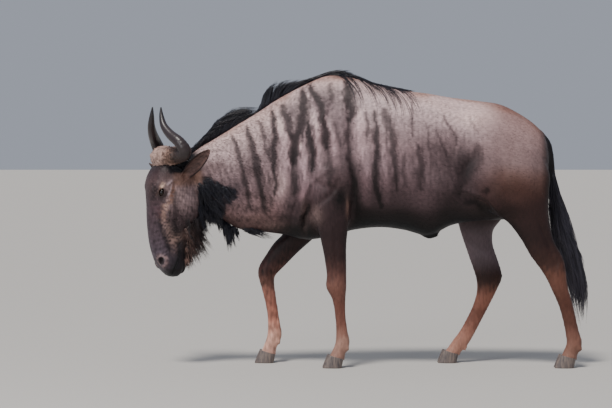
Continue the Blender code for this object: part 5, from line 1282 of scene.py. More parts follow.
def skin_samples(count, seed):
    """Places spread evenly over the skin: random points in its triangles,
    drawn by their areas, with the normals between those of the corners."""
    draw = np.random.default_rng(seed)
    corners = np.empty(len(skin.data.polygons) * 3, dtype=np.int32)
    skin.data.polygons.foreach_get("vertices", corners)
    corners = corners.reshape(-1, 3)
    a, b, c = (SKIN_POINTS[corners[:, k]] for k in range(3))
    area = np.linalg.norm(np.cross(b - a, c - a), axis=1)
    pick = draw.choice(len(area), count, p=area / area.sum())
    u, v = draw.uniform(size=(2, count, 1))
    flip = u + v > 1
    u, v = np.where(flip, 1 - u, u), np.where(flip, 1 - v, v)
    place = a[pick] + u * (b - a)[pick] + v * (c - a)[pick]
    n0, n1, n2 = (SKIN_NORMALS[corners[pick, k]] for k in range(3))
    return place, unit(n0 * (1 - u - v) + n1 * u + n2 * v)


def lie_of_coat(points, normals):
    """The way the hair lies: back and a little down on the trunk, down the
    legs, down and back over the face, out along the ears."""
    trunk = np.array((0.92, 0.0, -0.42))
    legs = leg_share(points)[0][:, None]
    way = trunk * (1 - legs) + np.array((0.12, 0.0, -1.0)) * legs
    behind = ease(points[:, 0], 0.72, 0.82)[:, None]
    way = way * (1 - behind) + np.array((0.15, 0.0, -1.0)) * behind
    face = np.array((0.0, -0.35, -1.0)) @ HEAD_FRAME[:3, :3].T
    head = head_share(points)[:, None]
    way = way * (1 - head) + face * head
    for ear in EARS:
        _, _, along, on_ear = ear_place(points, ear)
        way = way * (1 - on_ear)[:, None] + (HEAD_FRAME[:3, :3] @ along) * on_ear[:, None]
    way = way + 0.06 * np.stack([waves(points, 0.16, seed) for seed in (31, 32, 33)], axis=-1)
    return unit(way - normals * (way * normals).sum(axis=1, keepdims=True))


def region_of(points):
    """The name of the piece of coat a point belongs to."""
    x, _, z = points.T
    names = np.where(x < RIBS_END, "fur of the ribs", "fur of the rump")
    names = np.where(x < SHOULDERS_END, "fur of the shoulders", names)
    names = np.where(x < NECK_END, "fur of the neck", names)
    low = z < LEGS_TOP
    names = np.where(low & (x < 0.12), "fur of the forelegs", names)
    names = np.where(low & (x > 0.36), "fur of the hind legs", names)
    return np.where(head_share(points) > 0.5, "fur of the head", names)


def bake_places(points, name):
    """An unwrap of the skin's own shape: the turn about the long line of the
    part, and how far along it, both from 0 to 1; ears in a strip above."""
    x, y, z = points.T
    if name == "fur of the head":
        place = to_head(points)
        turn = np.arctan2(place[:, 0], place[:, 1] + 0.10) / (2 * math.pi) + 0.5
        run = np.clip((place[:, 2] + 0.40) / 0.62, 0.0, 1.0) * 0.78
        for strip, ear in enumerate(EARS):
            share, roll, _, on_leaf = ear_place(points, ear)
            on_ear = on_leaf > 0.5
            turn = np.where(on_ear, 0.02 + 0.46 * strip + 0.42 * np.clip(roll, 0, 1), turn)
            run = np.where(on_ear, 0.81 + 0.17 * share, run)
    elif "legs" in name:
        middle = np.interp(z, (0.0, 0.7), (0.118, 0.120)) * np.sign(y)
        along = np.where(y < 0, 0.0, 0.5)
        centre = np.zeros(len(points))
        for leg in LEGS:
            foot = numbers(leg)[-1]
            front, back = leg_outline(leg, z)
            fits = (np.sign(y) == np.sign(foot[5])) & (("fore" in name) == (foot[0] < 0.1))
            centre = np.where(fits, (front + back) / 2, centre)
        turn = along + 0.01 + 0.48 * (np.arctan2(y - middle, x - centre) / (2 * math.pi) + 0.5)
        run = np.clip(z / 0.70, 0.0, 1.0) * 0.98
    else:
        turn = np.arctan2(y, z - 0.93) / (2 * math.pi) + 0.5
        run = (x - x.min()) / (x.max() - x.min()) * 0.98
    return np.stack([turn, run], axis=-1) * (1 - 2 * BAKE_PATCH) + BAKE_PATCH


def bake_map(mesh, centres, faces_each, seed):
    """Give each tuft a small triangle of the map at its root's place."""
    draw = np.random.default_rng(seed)
    layer = mesh.uv_layers.new(name="OFBake")
    spin = draw.uniform(0.0, 2 * math.pi, (len(centres), 1)) + np.array((0.0, 2.1, 4.2))
    corner = np.stack([np.cos(spin), np.sin(spin)], axis=-1) * BAKE_PATCH / 2
    patch = centres[:, None] + corner
    flat = np.repeat(patch[:, None], faces_each, axis=1).astype(np.float32)
    layer.data.foreach_set("uv", flat.ravel())


def blades(root, out, lie, length, breadth, lift):
    """Bent blades: a flat triangle at the root, one at the bend, and a point.
    The tip lifts by the lift times the length, the bend by three quarters of it."""
    across = np.cross(out, lie)
    t = math.pi / 2 + np.array((0.0, 2.0, 4.0)) * math.pi / 3
    flat = (across[:, None] * np.cos(t)[:, None] * breadth[:, None, None] / 2
            + out[:, None] * np.sin(t)[:, None] * breadth[:, None, None] * BLADE_FLATNESS)
    base = root - out * BLADE_SINK
    middle = root + lie * (BLADE_BEND * length)[:, None] + out * (lift * length * 0.75)[:, None]
    tip = root + lie * length[:, None] + out * (lift * length)[:, None]
    rings = np.stack([base[:, None] + 0.8 * flat, middle[:, None] + flat], axis=1)
    return tubes(rings, tip)


def coat_piece(name, points, faces, colours, hangs, centres, faces_each, material, *stands_for):
    """Finish a piece of coat: colour and lie a point, bake map, place, slot."""
    mesh = surface(name, points + HOME, faces)
    each = len(points) // len(centres)
    colours = colours if colours.ndim == 3 else np.repeat(colours[:, None], each, axis=1)
    colour_attribute(mesh, colours.reshape(-1, 3))
    number_attribute(mesh, "hangs_down", np.repeat(hangs, each))
    bake_map(mesh, centres, faces_each, len(points))
    piece = finished(name, mesh, material)
    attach(piece, "root")
    if stands_for:
        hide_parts(*stands_for)
    return piece


draw = np.random.default_rng(FUR_SEED)
roots, outs = skin_samples(FUR_COUNT * 3, FUR_SEED)
bare = roots[:, 2] < BARE_FOOT
in_head = to_head(roots)
for side in (-1, 1):
    bare |= np.linalg.norm(in_head - on_side(EYE_AT, side), axis=1) < BARE_EYE
    bare |= np.linalg.norm(in_head - on_side(NOSTRIL_AT, side), axis=1) < BARE_NOSTRIL
bare |= (off_line(in_head[:, 1:3], MOUTH_LINE)[0] < BARE_LIP) & (head_share(roots) > 0.5)
roots, outs = roots[~bare], outs[~bare]
regions = region_of(roots)
for name, (part, length, breadth, lift) in FUR.items():
    here = np.flatnonzero(regions == name)[:int(FUR_COUNT * part)]
    root, out = roots[here], outs[here]
    lie = lie_of_coat(root, out)
    size = draw.uniform(0.65, 1.15, len(here))
    small = 1 - 0.45 * ease(-root[:, 2], -0.30, -0.10)
    if name == "fur of the head":
        small = 1 - 0.40 * ease(-to_head(root)[:, 2], 0.10, 0.30)
    colours = coat_colours(root, out) * draw.uniform(0.92, 1.10, (len(here), 1))
    points, faces = blades(root, out, lie, length * size * small, breadth * size * small,
                           lift * draw.uniform(0.6, 1.5, len(here)))
    hangs = np.maximum(leg_share(root)[0], head_share(root))
    fur = coat_piece(name, points, faces, np.clip(colours, 0.002, 1.0), hangs,
                     bake_places(root, name), BLADE_FACES, COAT)

# The mane in three pieces, and what all long hair is made of: every lock is a
# sheaf of thin tapered strands that keep together along one bent path, sunk in
# the skin at their roots.
PATH_STEPS = 9
STRAND_RINGS = 7
HAIR_SEED = 9
HAIR_PLACES = 60000
HAIR_SHARE = 1.0
# root x, hair length, rise of the bend, rise of the tip, fall to the sides, side shift
MANE = (
    ("poll hair", -0.850, 0.060, 0.45, 0.50, 0.30, -0.030),
    ("nape hair", -0.805, 0.100, 0.35, 0.25, 0.25, -0.022),
    ("upper crest", -0.765, 0.160, 0.45, 0.22, 0.20, -0.016),
    ("first tuft", -0.720, 0.230, 0.52, 0.16, 0.14, -0.010),
    ("back of the first tuft", -0.680, 0.230, 0.50, 0.12, 0.14, -0.008),
    ("under the first tuft", -0.640, 0.150, 0.30, 0.12, 0.16, -0.006),
    ("low hair", -0.590, 0.070, 0.25, 0.15, 0.20, -0.004),
    ("dip", -0.520, 0.060, 0.25, 0.18, 0.20, 0.0),
    ("second tuft", -0.472, 0.125, 0.60, 0.62, 0.14, -0.005),
    ("back of the second tuft", -0.425, 0.130, 0.50, 0.42, 0.18, -0.003),
    ("behind the second tuft", -0.375, 0.130, 0.30, 0.20, 0.25, -0.002),
    ("front of the withers", -0.300, 0.140, 0.20, 0.10, 0.30, 0.0),
    ("withers", -0.210, 0.140, 0.14, 0.04, 0.32, 0.0),
    ("back of the withers", -0.080, 0.140, 0.13, 0.02, 0.36, 0.0),
    ("back hair", 0.040, 0.120, 0.11, 0.00, 0.36, 0.0),
    ("last hair", 0.150, 0.080, 0.08, 0.00, 0.34, 0.0),
)
# root x, root z, root depth, hair length, half spread, side shift, lean back
CHIN_BEARD = (
    ("chin", -0.856, 0.500, 0.014, 0.045, 0.022, -0.028, 0.20),
    ("jaw front", -0.838, 0.570, 0.024, 0.125, 0.030, -0.020, 0.25),
    ("jaw", -0.808, 0.640, 0.034, 0.170, 0.036, -0.010, 0.35),
    ("jaw back", -0.796, 0.720, 0.034, 0.170, 0.036, -0.006, 0.45),
)
# the same for the throat
THROAT_BEARD = (
    ("behind the jaw", -0.776, 0.815, 0.030, 0.150, 0.036, -0.028, 0.10),
    ("throat top", -0.745, 0.760, 0.036, 0.110, 0.036, -0.024, 0.12),
    ("throat middle", -0.700, 0.705, 0.030, 0.050, 0.036, -0.019, 0.20),
    ("throat low", -0.655, 0.672, 0.030, 0.105, 0.030, -0.016, 0.16),
    ("longest lock", -0.634, 0.655, 0.022, 0.125, 0.016, -0.014, 0.10),
    ("end of the throat", -0.612, 0.645, 0.016, 0.040, 0.020, -0.013, 0.40),
)
# tail hair: x, z, radius of the whole bundle
TUFT = (
    ("dock top", 0.858, 0.990, 0.019),
    ("dock", 0.868, 0.885, 0.021),
    ("first hair", 0.875, 0.796, 0.027),
    ("tuft top", 0.896, 0.707, 0.042),
    ("tuft upper", 0.915, 0.618, 0.053),
    ("widest", 0.941, 0.529, 0.057),
    ("tuft middle", 0.968, 0.440, 0.051),
    ("tuft lower", 0.988, 0.351, 0.047),
    ("tuft end", 0.998, 0.262, 0.034),
    ("tuft tip", 1.010, 0.185, 0.014),
)
TUFT_FLATNESS = 0.62
# rows of locks in the mane, the chin's and the throat's beard, single locks elsewhere
LOCKS = {"mane": 150, "back": 120, "chin": 26, "jaw": 110, "throat": 36, "throat end": 26,
         "side of the neck": 190, "behind the jaw": 190, "horns": 110, "tail": 330}
HAIR_ROOTS, HAIR_OUTS = skin_samples(HAIR_PLACES, HAIR_SEED)


def lock_count(part):
    return int(LOCKS[part] * HAIR_SHARE)


def rows_along(table, count):
    """Rows read from the curve through the table at even steps along it."""
    fine = through(numbers(table), 12)
    step = np.hypot(np.diff(fine[:, 0]), np.diff(fine[:, 1]))
    length = np.concatenate([[0.0], np.cumsum(step)])
    places = (np.arange(count) + 0.5) / count * length[-1]
    return np.stack([np.interp(places, length, column) for column in fine.T], axis=-1)


def over_skin(points, height, always=False):
    """The points, moved out until each lies this high over the skin, or with
    always moved to that height also from farther out."""
    moved = points.reshape(-1, 3).copy()
    for k, point in enumerate(moved):
        near, normal, _, _ = SKIN_TREE.find_nearest(Vector(point))
        over = (Vector(point) - near).dot(normal)
        if always or over < height:
            moved[k] = near + normal * height
    return moved.reshape(points.shape)


def bent(root, bend, tip):
    """Paths along the parabolas from the roots to the tips."""
    s = np.linspace(0.0, 1.0, PATH_STEPS)[None, :, None]
    a, b, c = root[:, None], bend[:, None], tip[:, None]
    return (1 - s) ** 2 * a + 2 * s * (1 - s) * b + s ** 2 * c


def sheaves(paths, draw, strands, thick=0.0011, spread=0.0065, gather=0.55, curl=0.0030):
    """Strands about each lock's path.

    A strand starts beside the root, keeps its place in the sheaf, which
    gathers towards the tip, waves by a sine of its length and ends early or
    late. Its three-sided rings shrink by 1 - s^1.6 after a quick swelling.
    """
    locks = len(paths)
    each = (locks, strands, 1, 1)
    s = np.linspace(0.0, 1.0, STRAND_RINGS)
    reach = draw.uniform(0.60, 1.03, (locks, strands, 1)) * s
    step = np.minimum((reach * (PATH_STEPS - 1)).astype(int), PATH_STEPS - 2)
    part = (reach * (PATH_STEPS - 1) - step)[..., None]
    which = np.arange(locks)[:, None, None]
    line = paths[which, step] * (1 - part) + paths[which, step + 1] * part
    r = reach[..., None]
    way = unit(paths[:, -1] - paths[:, 0])[:, None, None]
    side = unit(np.cross(way, np.array((0.13, 0.21, 0.97))))
    other = np.cross(way, side)
    turn = draw.uniform(0.0, 2 * math.pi, each)
    off = spread * np.sqrt(draw.uniform(0.0, 1.0, each)) * (1 - gather * r)
    wave = curl * r * np.sin(draw.uniform(2.0, 6.0, each) * r
                             + draw.uniform(0.0, 2 * math.pi, each))
    line = line + side * (off * np.cos(turn) + wave) + other * (off * np.sin(turn) - 0.6 * wave)
    line = line.reshape(locks * strands, STRAND_RINGS, 3)
    run = unit(np.gradient(line, axis=1))
    e1 = unit(np.cross(run, np.array((0.31, 0.83, 0.46))))
    e2 = np.cross(run, e1)
    size = thick * draw.uniform(0.7, 1.3, (len(line), 1, 1, 1))
    shrink = ((0.75 + 0.5 * s - 0.25 * s ** 2) * (1 - s ** 1.6) + 0.10)[None, :, None, None]
    t = np.array((0.0, 2 * math.pi / 3, 4 * math.pi / 3))[None, None, :, None]
    rim = np.cos(t) * 1.5 * e1[:, :, None] + np.sin(t) * e2[:, :, None]
    return line[:, :, None] + size * shrink * rim


def mane_paths(rows, draw, per_row):
    """Paths that rise from the crest, sweep back and part to both sides."""
    rows = np.repeat(rows, per_row, axis=0)
    each = (len(rows), 1)
    x, length, bend_rise, tip_rise, fall, shift = rows.T[:, :, None]
    z = height_on(TOP_LINE, x) - 0.004
    slope = np.interp(x, TOP_LINE[:, 0], np.gradient(TOP_LINE[:, 1], TOP_LINE[:, 0]))
    run_x, run_z = 1 / np.hypot(1, slope), slope / np.hypot(1, slope)
    none = np.zeros_like(x)
    along = np.hstack([run_x, none, run_z])
    away = np.hstack([-run_z, none, run_x])
    side = np.hstack([none, draw.uniform(-0.35, 1.0, each), none])
    reach = length * draw.uniform(0.72, 1.06, each)
    root = np.hstack([x, shift, z]) + along * draw.uniform(-0.01, 0.01, each)
    root = root + side * 0.010 - away * 0.003
    rise = away * bend_rise * draw.uniform(0.8, 1.15, each)
    bend = root + reach * (along * 0.35 + rise + side * fall * 0.5)
    tip = root + reach * (along * (1.0 - 0.35 * tip_rise) + away * (tip_rise - 0.45 * fall)
                          + side * fall)
    return over_skin(bent(root, bend, tip), 0.003)


def draped_paths(count, first, last, draw):
    """Paths of single locks that run from the ridge down over either flank."""
    x = draw.uniform(first, last, count)
    side = np.where(draw.uniform(size=count) < 0.6, -1.0, 1.0)
    length = draw.uniform(0.10, 0.24, count)
    back = draw.uniform(0.25, 0.65, count)
    s = np.linspace(0.0, 1.0, PATH_STEPS)[None, :]
    run = length[:, None] * s
    top = height_on(TOP_LINE, x)[:, None]
    paths = np.stack([x[:, None] + run * (back[:, None] + 0.5 * (1 - s)),
                      side[:, None] * (0.008 + 0.62 * run ** 0.85),
                      top - 0.004 - 0.80 * run * s ** 0.35], axis=-1)
    return over_skin(paths, 0.0035, always=True)


def beard_paths(rows, draw, per_row):
    """Paths that hang from both sides of the root line, leaning back a little."""
    rows = np.repeat(rows, per_row, axis=0)
    each = (len(rows), 1)
    x, z, depth, length, spread, shift, lean = rows.T[:, :, None]
    reach = length * draw.uniform(0.55, 1.05, each)
    back = reach * lean * draw.uniform(0.5, 1.5, each)
    side = spread * draw.uniform(-1.0, 1.0, each)
    none = np.zeros_like(x)
    root = np.hstack([x + draw.uniform(-0.012, 0.012, each), shift + side * 0.55, z])
    root = root + np.hstack([none, none, draw.uniform(-0.6, 0.2, each) * depth])
    bend = root + np.hstack([back * 0.35, side * 0.45, -0.5 * reach])
    tip = root + np.hstack([back, side * 0.15, -reach * (1 - 0.4 * lean)])
    return over_skin(bent(root, bend, tip), 0.002)


def hanging_paths(chosen, part, draw, low, high, lean):
    """Paths that leave the skin at the chosen places and hang down, back a bit."""
    root, out = HAIR_ROOTS[chosen][:lock_count(part)], HAIR_OUTS[chosen][:lock_count(part)]
    reach = draw.uniform(low, high, (len(root), 1))
    back = lean * draw.uniform(0.4, 1.5, len(root))
    down = unit(np.stack([back, draw.uniform(-0.2, 0.2, len(root)), -np.ones(len(root))], axis=-1))
    bend = root + out * 0.12 * reach + down * 0.45 * reach
    tip = root + out * 0.03 * reach + down * reach
    return over_skin(bent(root - out * 0.002, bend, tip), 0.0025)


def tail_paths(count, draw):
    """Paths from the dock down inside the bundle, each at its own share of
    the bundle's radius and its own turn about the middle."""
    rows = through(numbers(TUFT), 6)[::-1]
    share = np.sqrt(draw.uniform(0.02, 1.0, (count, 1)))
    turn = draw.uniform(0.0, 2 * math.pi, (count, 1))
    first = draw.uniform(0.56, 0.955, (count, 1))
    last = np.maximum(first - draw.uniform(0.22, 0.46, (count, 1)), draw.uniform(0.17, 0.30, (count, 1)))
    s = np.linspace(0.0, 1.0, PATH_STEPS)[None, :]
    z = first + (last - first) * s
    x = np.interp(z, rows[:, 1], rows[:, 0])
    radius = np.interp(z, rows[:, 1], rows[:, 2]) * share * ease(s, -0.25, 0.55)
    radius = np.maximum(radius, 0.006 * ease(-s, -0.5, 0.0))
    x = x - 0.006 * ease(z, 0.78, 0.90)
    return np.stack([x + np.cos(turn) * radius, np.sin(turn) * radius * TUFT_FLATNESS, z], axis=-1)


def hair_material():
    """Glossy hair in its painted colour, with a cold sheen."""
    made, nodes, shader = node_tree("long black hair")
    feed(reader(nodes, "coat_colour"), "Color", shader, "Base Color")
    set_sockets(shader, Roughness=0.36, Specular_IOR_Level=0.60, Sheen_Weight=0.06,
                Sheen_Tint=(0.65, 0.75, 1.0, 1.0))
    return made


HAIR = hair_material()


def hair_piece(name, rings, colour, end, draw, *stands_for):
    """One mesh of strands, with its bake map unwrapped about the root line.
    The colour goes over to the end's from 0.45 of the length to the tip."""
    points, faces = tubes(rings)
    strands = len(rings)
    root = rings[:, 0].mean(axis=1)
    low, high = root.min(axis=0), root.max(axis=0)
    run = (root - low) @ (high - low) / ((high - low) @ (high - low))
    turn = (root[:, 1] - low[1]) / max(high[1] - low[1], 1e-6)
    centres = np.stack([run, turn], axis=-1) * (1 - 2 * BAKE_PATCH) + BAKE_PATCH
    down = np.concatenate([np.repeat(np.linspace(0.0, 1.0, STRAND_RINGS), 3), [0.0, 1.0]])
    at_root = (colour + 0 * root)[:, None] + 0 * down[None, :, None]
    colours = mixed(at_root, end, ease(down, 0.45, 1.0)[None, :])
    colours = colours * draw.uniform(0.65, 1.4, (strands, 1, 1))
    each = len(faces) // strands
    piece = coat_piece(name, points, faces, colours, np.ones(strands), centres, each, HAIR, *stands_for)
    return piece


draw = np.random.default_rng(HAIR_SEED)
BLACK = tint(33, 32, 40)
mane_rows = rows_along(MANE, lock_count("mane"))
MANE_PARTS = (("mane_neck", -9.0, -0.53), ("mane_shoulder", -0.53, -0.35), ("mane_withers", -0.35, 9.0))
for name, first, last in MANE_PARTS:
    rows = mane_rows[(mane_rows[:, 0] >= first) & (mane_rows[:, 0] < last)]
    rings = sheaves(mane_paths(rows, draw, per_row=5), draw, strands=8)
    if name == "mane_withers":
        draped = draped_paths(lock_count("back"), -0.150, 0.165, draw)
        draped = sheaves(draped, draw, strands=3, thick=0.0006, spread=0.0100, gather=0.3)
        rings = np.concatenate([rings, draped])
    hair_piece(name.replace("_", " of the "), rings, BLACK, BLACK, draw, name)

# The beard of the chin: hair that hangs from the jaw, brown with dark ends. Its
# sheaves are sunk in the skin under the chin and along both edges of the jaw.
in_head = to_head(HAIR_ROOTS)
head_part = head_share(HAIR_ROOTS)
jaw_low = (head_part > 0.5) & (in_head[:, 1] < -0.135) & (np.abs(in_head[:, 2] + 0.19) < 0.07)
chin = beard_paths(rows_along(CHIN_BEARD, lock_count("chin")), draw, per_row=6)
chin = sheaves(chin, draw, strands=9, thick=0.0009, spread=0.0120, gather=0.35, curl=0.008)
jaw = hanging_paths(jaw_low, "jaw", draw, low=0.03, high=0.08, lean=0.35)
jaw = sheaves(jaw, draw, strands=9, thick=0.0009, spread=0.0120, gather=0.3, curl=0.008)
rings = np.concatenate([chin, jaw])
root = rings[:, 0].mean(axis=1)
brown = ease(waves(root, 0.06, 41) + draw.normal(0.0, 0.5, len(root)), -0.9, 0.6)
brown = brown * ease(-root[:, 2], -0.68, -0.58)
hair_piece("beard of the chin", rings, mixed(tint(40, 31, 31) + 0 * root, tint(146, 114, 103), brown),
           tint(44, 33, 32), draw, "beard_chin")

# The beard of the throat: black hair along the underside of the neck, on both
# its sides and behind the jaw, rooted in the skin there. On the upper side of
# the neck its black also stands in for the head's painted shadow.
black_side = (black_hair_and_head_shadow(HAIR_ROOTS) > 0.5) & (head_part < 0.5) & (np.abs(HAIR_OUTS[:, 1]) > 0.25)
black_side &= (black_hair_and_head_shadow(HAIR_ROOTS + (0.022, 0.0, -0.045)) > 0.4) | (HAIR_ROOTS[:, 0] < -0.690)
jaw_back = (head_part > 0.3) & (in_head[:, 1] < -0.203) & (np.abs(in_head[:, 2] + 0.045) < 0.085)
throat_end = (np.abs(HAIR_ROOTS[:, 0] + 0.545) < 0.032) & (np.abs(HAIR_ROOTS[:, 1] + 0.012) < 0.035)
throat_end &= HAIR_ROOTS[:, 2] < 0.665
fringe = hanging_paths(throat_end, "throat end", draw, low=0.05, high=0.11, lean=3.2)
fringe = sheaves(fringe, draw, strands=5, thick=0.0008, spread=0.0060)
throat = beard_paths(rows_along(THROAT_BEARD, lock_count("throat")), draw, per_row=6)
throat = sheaves(throat, draw, strands=9)
flank = hanging_paths(black_side, "side of the neck", draw, low=0.035, high=0.080, lean=0.60)
flank = sheaves(flank, draw, strands=7, thick=0.0010, spread=0.0100)
behind = hanging_paths(jaw_back, "behind the jaw", draw, low=0.06, high=0.10, lean=0.55)
behind = sheaves(behind, draw, strands=6)
rings = np.concatenate([fringe, throat, flank, behind])
hair_piece("beard of the throat", rings, BLACK, BLACK, draw, "beard_throat")

# Short black sheaves under the horns that close the crown round the foot of
# the boss, rooted in the skin of the head. Their near-black is partly the real
# black hair and partly painted shade under the horns.
under_horns = (np.abs(in_head[:, 2] - 0.130) < 0.022) & (np.abs(in_head[:, 1] + 0.135) < 0.052)
under_horns &= np.abs(in_head[:, 0]) < 0.100
crown = hanging_paths(under_horns, "horns", draw, low=0.03, high=0.06, lean=2.20)
rings = sheaves(crown, draw, strands=10)
hair_piece("hair under the horns", rings, tint(20, 18, 24), tint(20, 18, 24), draw)

# The hair of the tail: long black sheaves, which leave the dock from its root
# down and hang as one flattened bundle. Their greyer, bluish ends are a painted
# sheen.
rings = sheaves(tail_paths(lock_count("tail"), draw), draw, strands=12, spread=0.008, curl=0.004)
# the grey-blue towards the ends is painted sheen on the black hair
hair_piece("hair of the tail", rings, tint(33, 30, 36), tint(76, 73, 84), draw, "tail_tuft")

# Horns: a rough pale boss on the crown that runs out, down and up again into
# smooth dark points. Each is a tube round its own centre line.
# station: x, y, z in the head's frame, radius across, radius along
HORN = (
    ("past the middle", -0.060, -0.098, 0.170, 0.047, 0.056),
    ("boss middle", 0.000, -0.086, 0.159, 0.057, 0.062),
    ("boss", 0.060, -0.098, 0.170, 0.047, 0.056),
    ("boss end", 0.112, -0.106, 0.176, 0.033, 0.045),
    ("elbow", 0.160, -0.117, 0.178, 0.030, 0.035),
    ("outermost", 0.194, -0.120, 0.200, 0.029, 0.030),
    ("turn in", 0.180, -0.102, 0.240, 0.026, 0.026),
    ("middle", 0.134, -0.078, 0.276, 0.022, 0.022),
    ("rise", 0.096, -0.063, 0.316, 0.017, 0.017),
    ("upper", 0.074, -0.062, 0.360, 0.011, 0.011),
    ("tip", 0.064, -0.066, 0.402, 0.003, 0.003),
)
HORN_SIDES = 44
HORN_GAP = 0.0004       # from the flat end of each boss to the middle of the head


def colour_ramp(nodes, *stops):
    """A node that turns a share into a colour, from places and colours as seen."""
    made = nodes.new("ShaderNodeValToRGB")
    elements = made.color_ramp.elements
    for end, (at, *seen) in zip((elements[0], elements[1]), (stops[0], stops[-1])):
        end.position, end.color = at, (*tint(*seen), 1.0)
    for at, *seen in stops[1:-1]:
        elements.new(at).color = (*tint(*seen), 1.0)
    return made


def horn_material():
    """Horn: pinkish tan and rough at the boss, near black and glossy above."""
    made, nodes, shader = node_tree("horn")
    along = reader(nodes, "along_horn")
    place = new_node(nodes, "TexCoord")
    noise = new_node(nodes, "TexNoise", Scale=55.0, Detail=6.0, Distortion=1.2)
    feed(place, "Object", noise, "Vector")
    shifted = new_node(nodes, "Math", "MULTIPLY_ADD")
    shifted.inputs[1].default_value = -0.22
    feed(noise, "Fac", shifted, 0)
    feed(along, "Fac", shifted, 2)
    shown = new_node(nodes, "Math")
    shown.inputs[1].default_value = 0.11
    feed(shifted, "Value", shown, 0)
    colour = colour_ramp(nodes, (0.0, 172, 142, 132), (0.13, 152, 124, 114), (0.21, 112, 86, 75),
                         (0.30, 60, 45, 41), (0.42, 48, 39, 40), (0.7, 54, 46, 49), (1.0, 30, 27, 30))
    feed(shown, "Value", colour, "Fac")
    gloss = new_node(nodes, "MapRange", From_Min=0.25, From_Max=0.50, To_Min=0.72, To_Max=0.36)
    feed(along, "Fac", gloss, "Value")
    feed(gloss, "Result", shader, "Roughness")
    crust = new_node(nodes, "MapRange", From_Min=0.18, From_Max=0.40, To_Min=0.90, To_Max=0.04)
    feed(along, "Fac", crust, "Value")
    creases = new_node(nodes, "MapRange", From_Min=0.40, From_Max=0.52, To_Min=0.45, To_Max=1.05)
    feed(noise, "Fac", creases, "Value")
    shade = new_node(nodes, "Mix", A=1.0)
    feed(crust, "Result", shade, "Factor")
    feed(creases, "Result", shade, "B")
    darkened = new_node(nodes, "VectorMath", "SCALE")
    feed(colour, "Color", darkened, 0)
    feed(shade, "Result", darkened, "Scale")
    feed(darkened, "Vector", shader, "Base Color")
    rough = new_node(nodes, "Bump", Distance=0.0040)
    feed(crust, "Result", rough, "Strength")
    feed(noise, "Fac", rough, "Height")
    feed(rough, "Normal", shader, "Normal")
    return made


HORN_LOOK = horn_material()
for side, word in ((-1, "left"), (1, "right")):
    rows = through(numbers(HORN), 12)
    rows = rows[rows[:, 0] >= 0.0005]
    centres = rows[:, 0:3] * (side, 1, 1)
    rings = pipe_rings(centres, rows[:, 4], rows[:, 3], np.array((0.0, 1.0, 0.0)), HORN_SIDES)
    rings[0, :, 0] = side * HORN_GAP
    step = np.linalg.norm(np.diff(rows[:, 0:3], axis=0), axis=1)
    length = np.concatenate([[0.0], np.cumsum(step)]) / step.sum()
    points, faces = tubes(rings[None])
    along = np.concatenate([np.repeat(length, HORN_SIDES), [0.0, 1.0]])
    mesh = outward(surface("horn " + word, points, faces))
    normals = points_of(mesh, "normal")
    knobs = waves(points, 0.034, 51) * 0.0026 + waves(points, 0.013, 52) * 0.0022
    ridges = 0.0006 * np.sin(along * 190.0) * ease(along, 0.22, 0.34) * ease(-along, -0.72, -0.50)
    lift = knobs * ease(-along, -0.42, -0.26) + ridges
    set_points(mesh, from_head(points + normals * lift[:, None]) + HOME)
    number_attribute(mesh, "along_horn", along)
    horn = finished("horn " + word, mesh, HORN_LOOK)
    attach(horn, "root")
    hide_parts("horn_" + word)

# Eyes: dark glossy balls with a brown iris and a wide flat black pupil. They
# sit in their sockets under the lids of the skin.
PUPIL = (0.0085, 0.0042)        # half length along the lids, half height


def eye_material():
    """A wet dark eye in its painted colours."""
    made, nodes, shader = node_tree("eye")
    feed(reader(nodes, "coat_colour"), "Color", shader, "Base Color")
    set_sockets(shader, Roughness=0.05, Specular_IOR_Level=0.35)
    return made


EYE_LOOK = eye_material()
for side, word in ((-1, "left"), (1, "right")):
    points, faces = ball((0.0, 0.0, 0.0), (EYE_RADIUS,) * 3, 48, 64)
    out, along, up = eye_axes(side)
    off_axis = np.degrees(np.arccos(np.clip(points @ out / np.linalg.norm(points, axis=1), -1.0, 1.0)))
    wide, high = (points @ along) / PUPIL[0], (points @ up) / PUPIL[1]
    pupil = ease(-np.hypot(wide, high), -1.1, -0.9) * (off_axis < 90)
    colours = mixed(tint(30, 17, 10) + 0 * points, tint(60, 44, 38), ease(off_axis, 46, 52))
    colours = mixed(colours, tint(4, 3, 3), pupil)
    mesh = surface("eye " + word, from_head(points + on_side(EYE_AT, side)) + HOME, faces)
    colour_attribute(mesh, colours)
    eye = finished("eye " + word, outward(mesh), EYE_LOOK)
    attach(eye, "root")
    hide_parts("eye_" + word)

# Hooves: two claws a foot, flat soled and D-shaped, with growth rings in the
# wall. They close the lower end of the skin.
CLAW_LENGTH = 0.098
CLAW_TOP_LENGTH = 0.080
CLAW_WIDTH = 0.043
CLAW_SPACING = 0.047
CLAW_REACH = 0.024      # of the toe before the coronet
CLAW_SIDES = 56


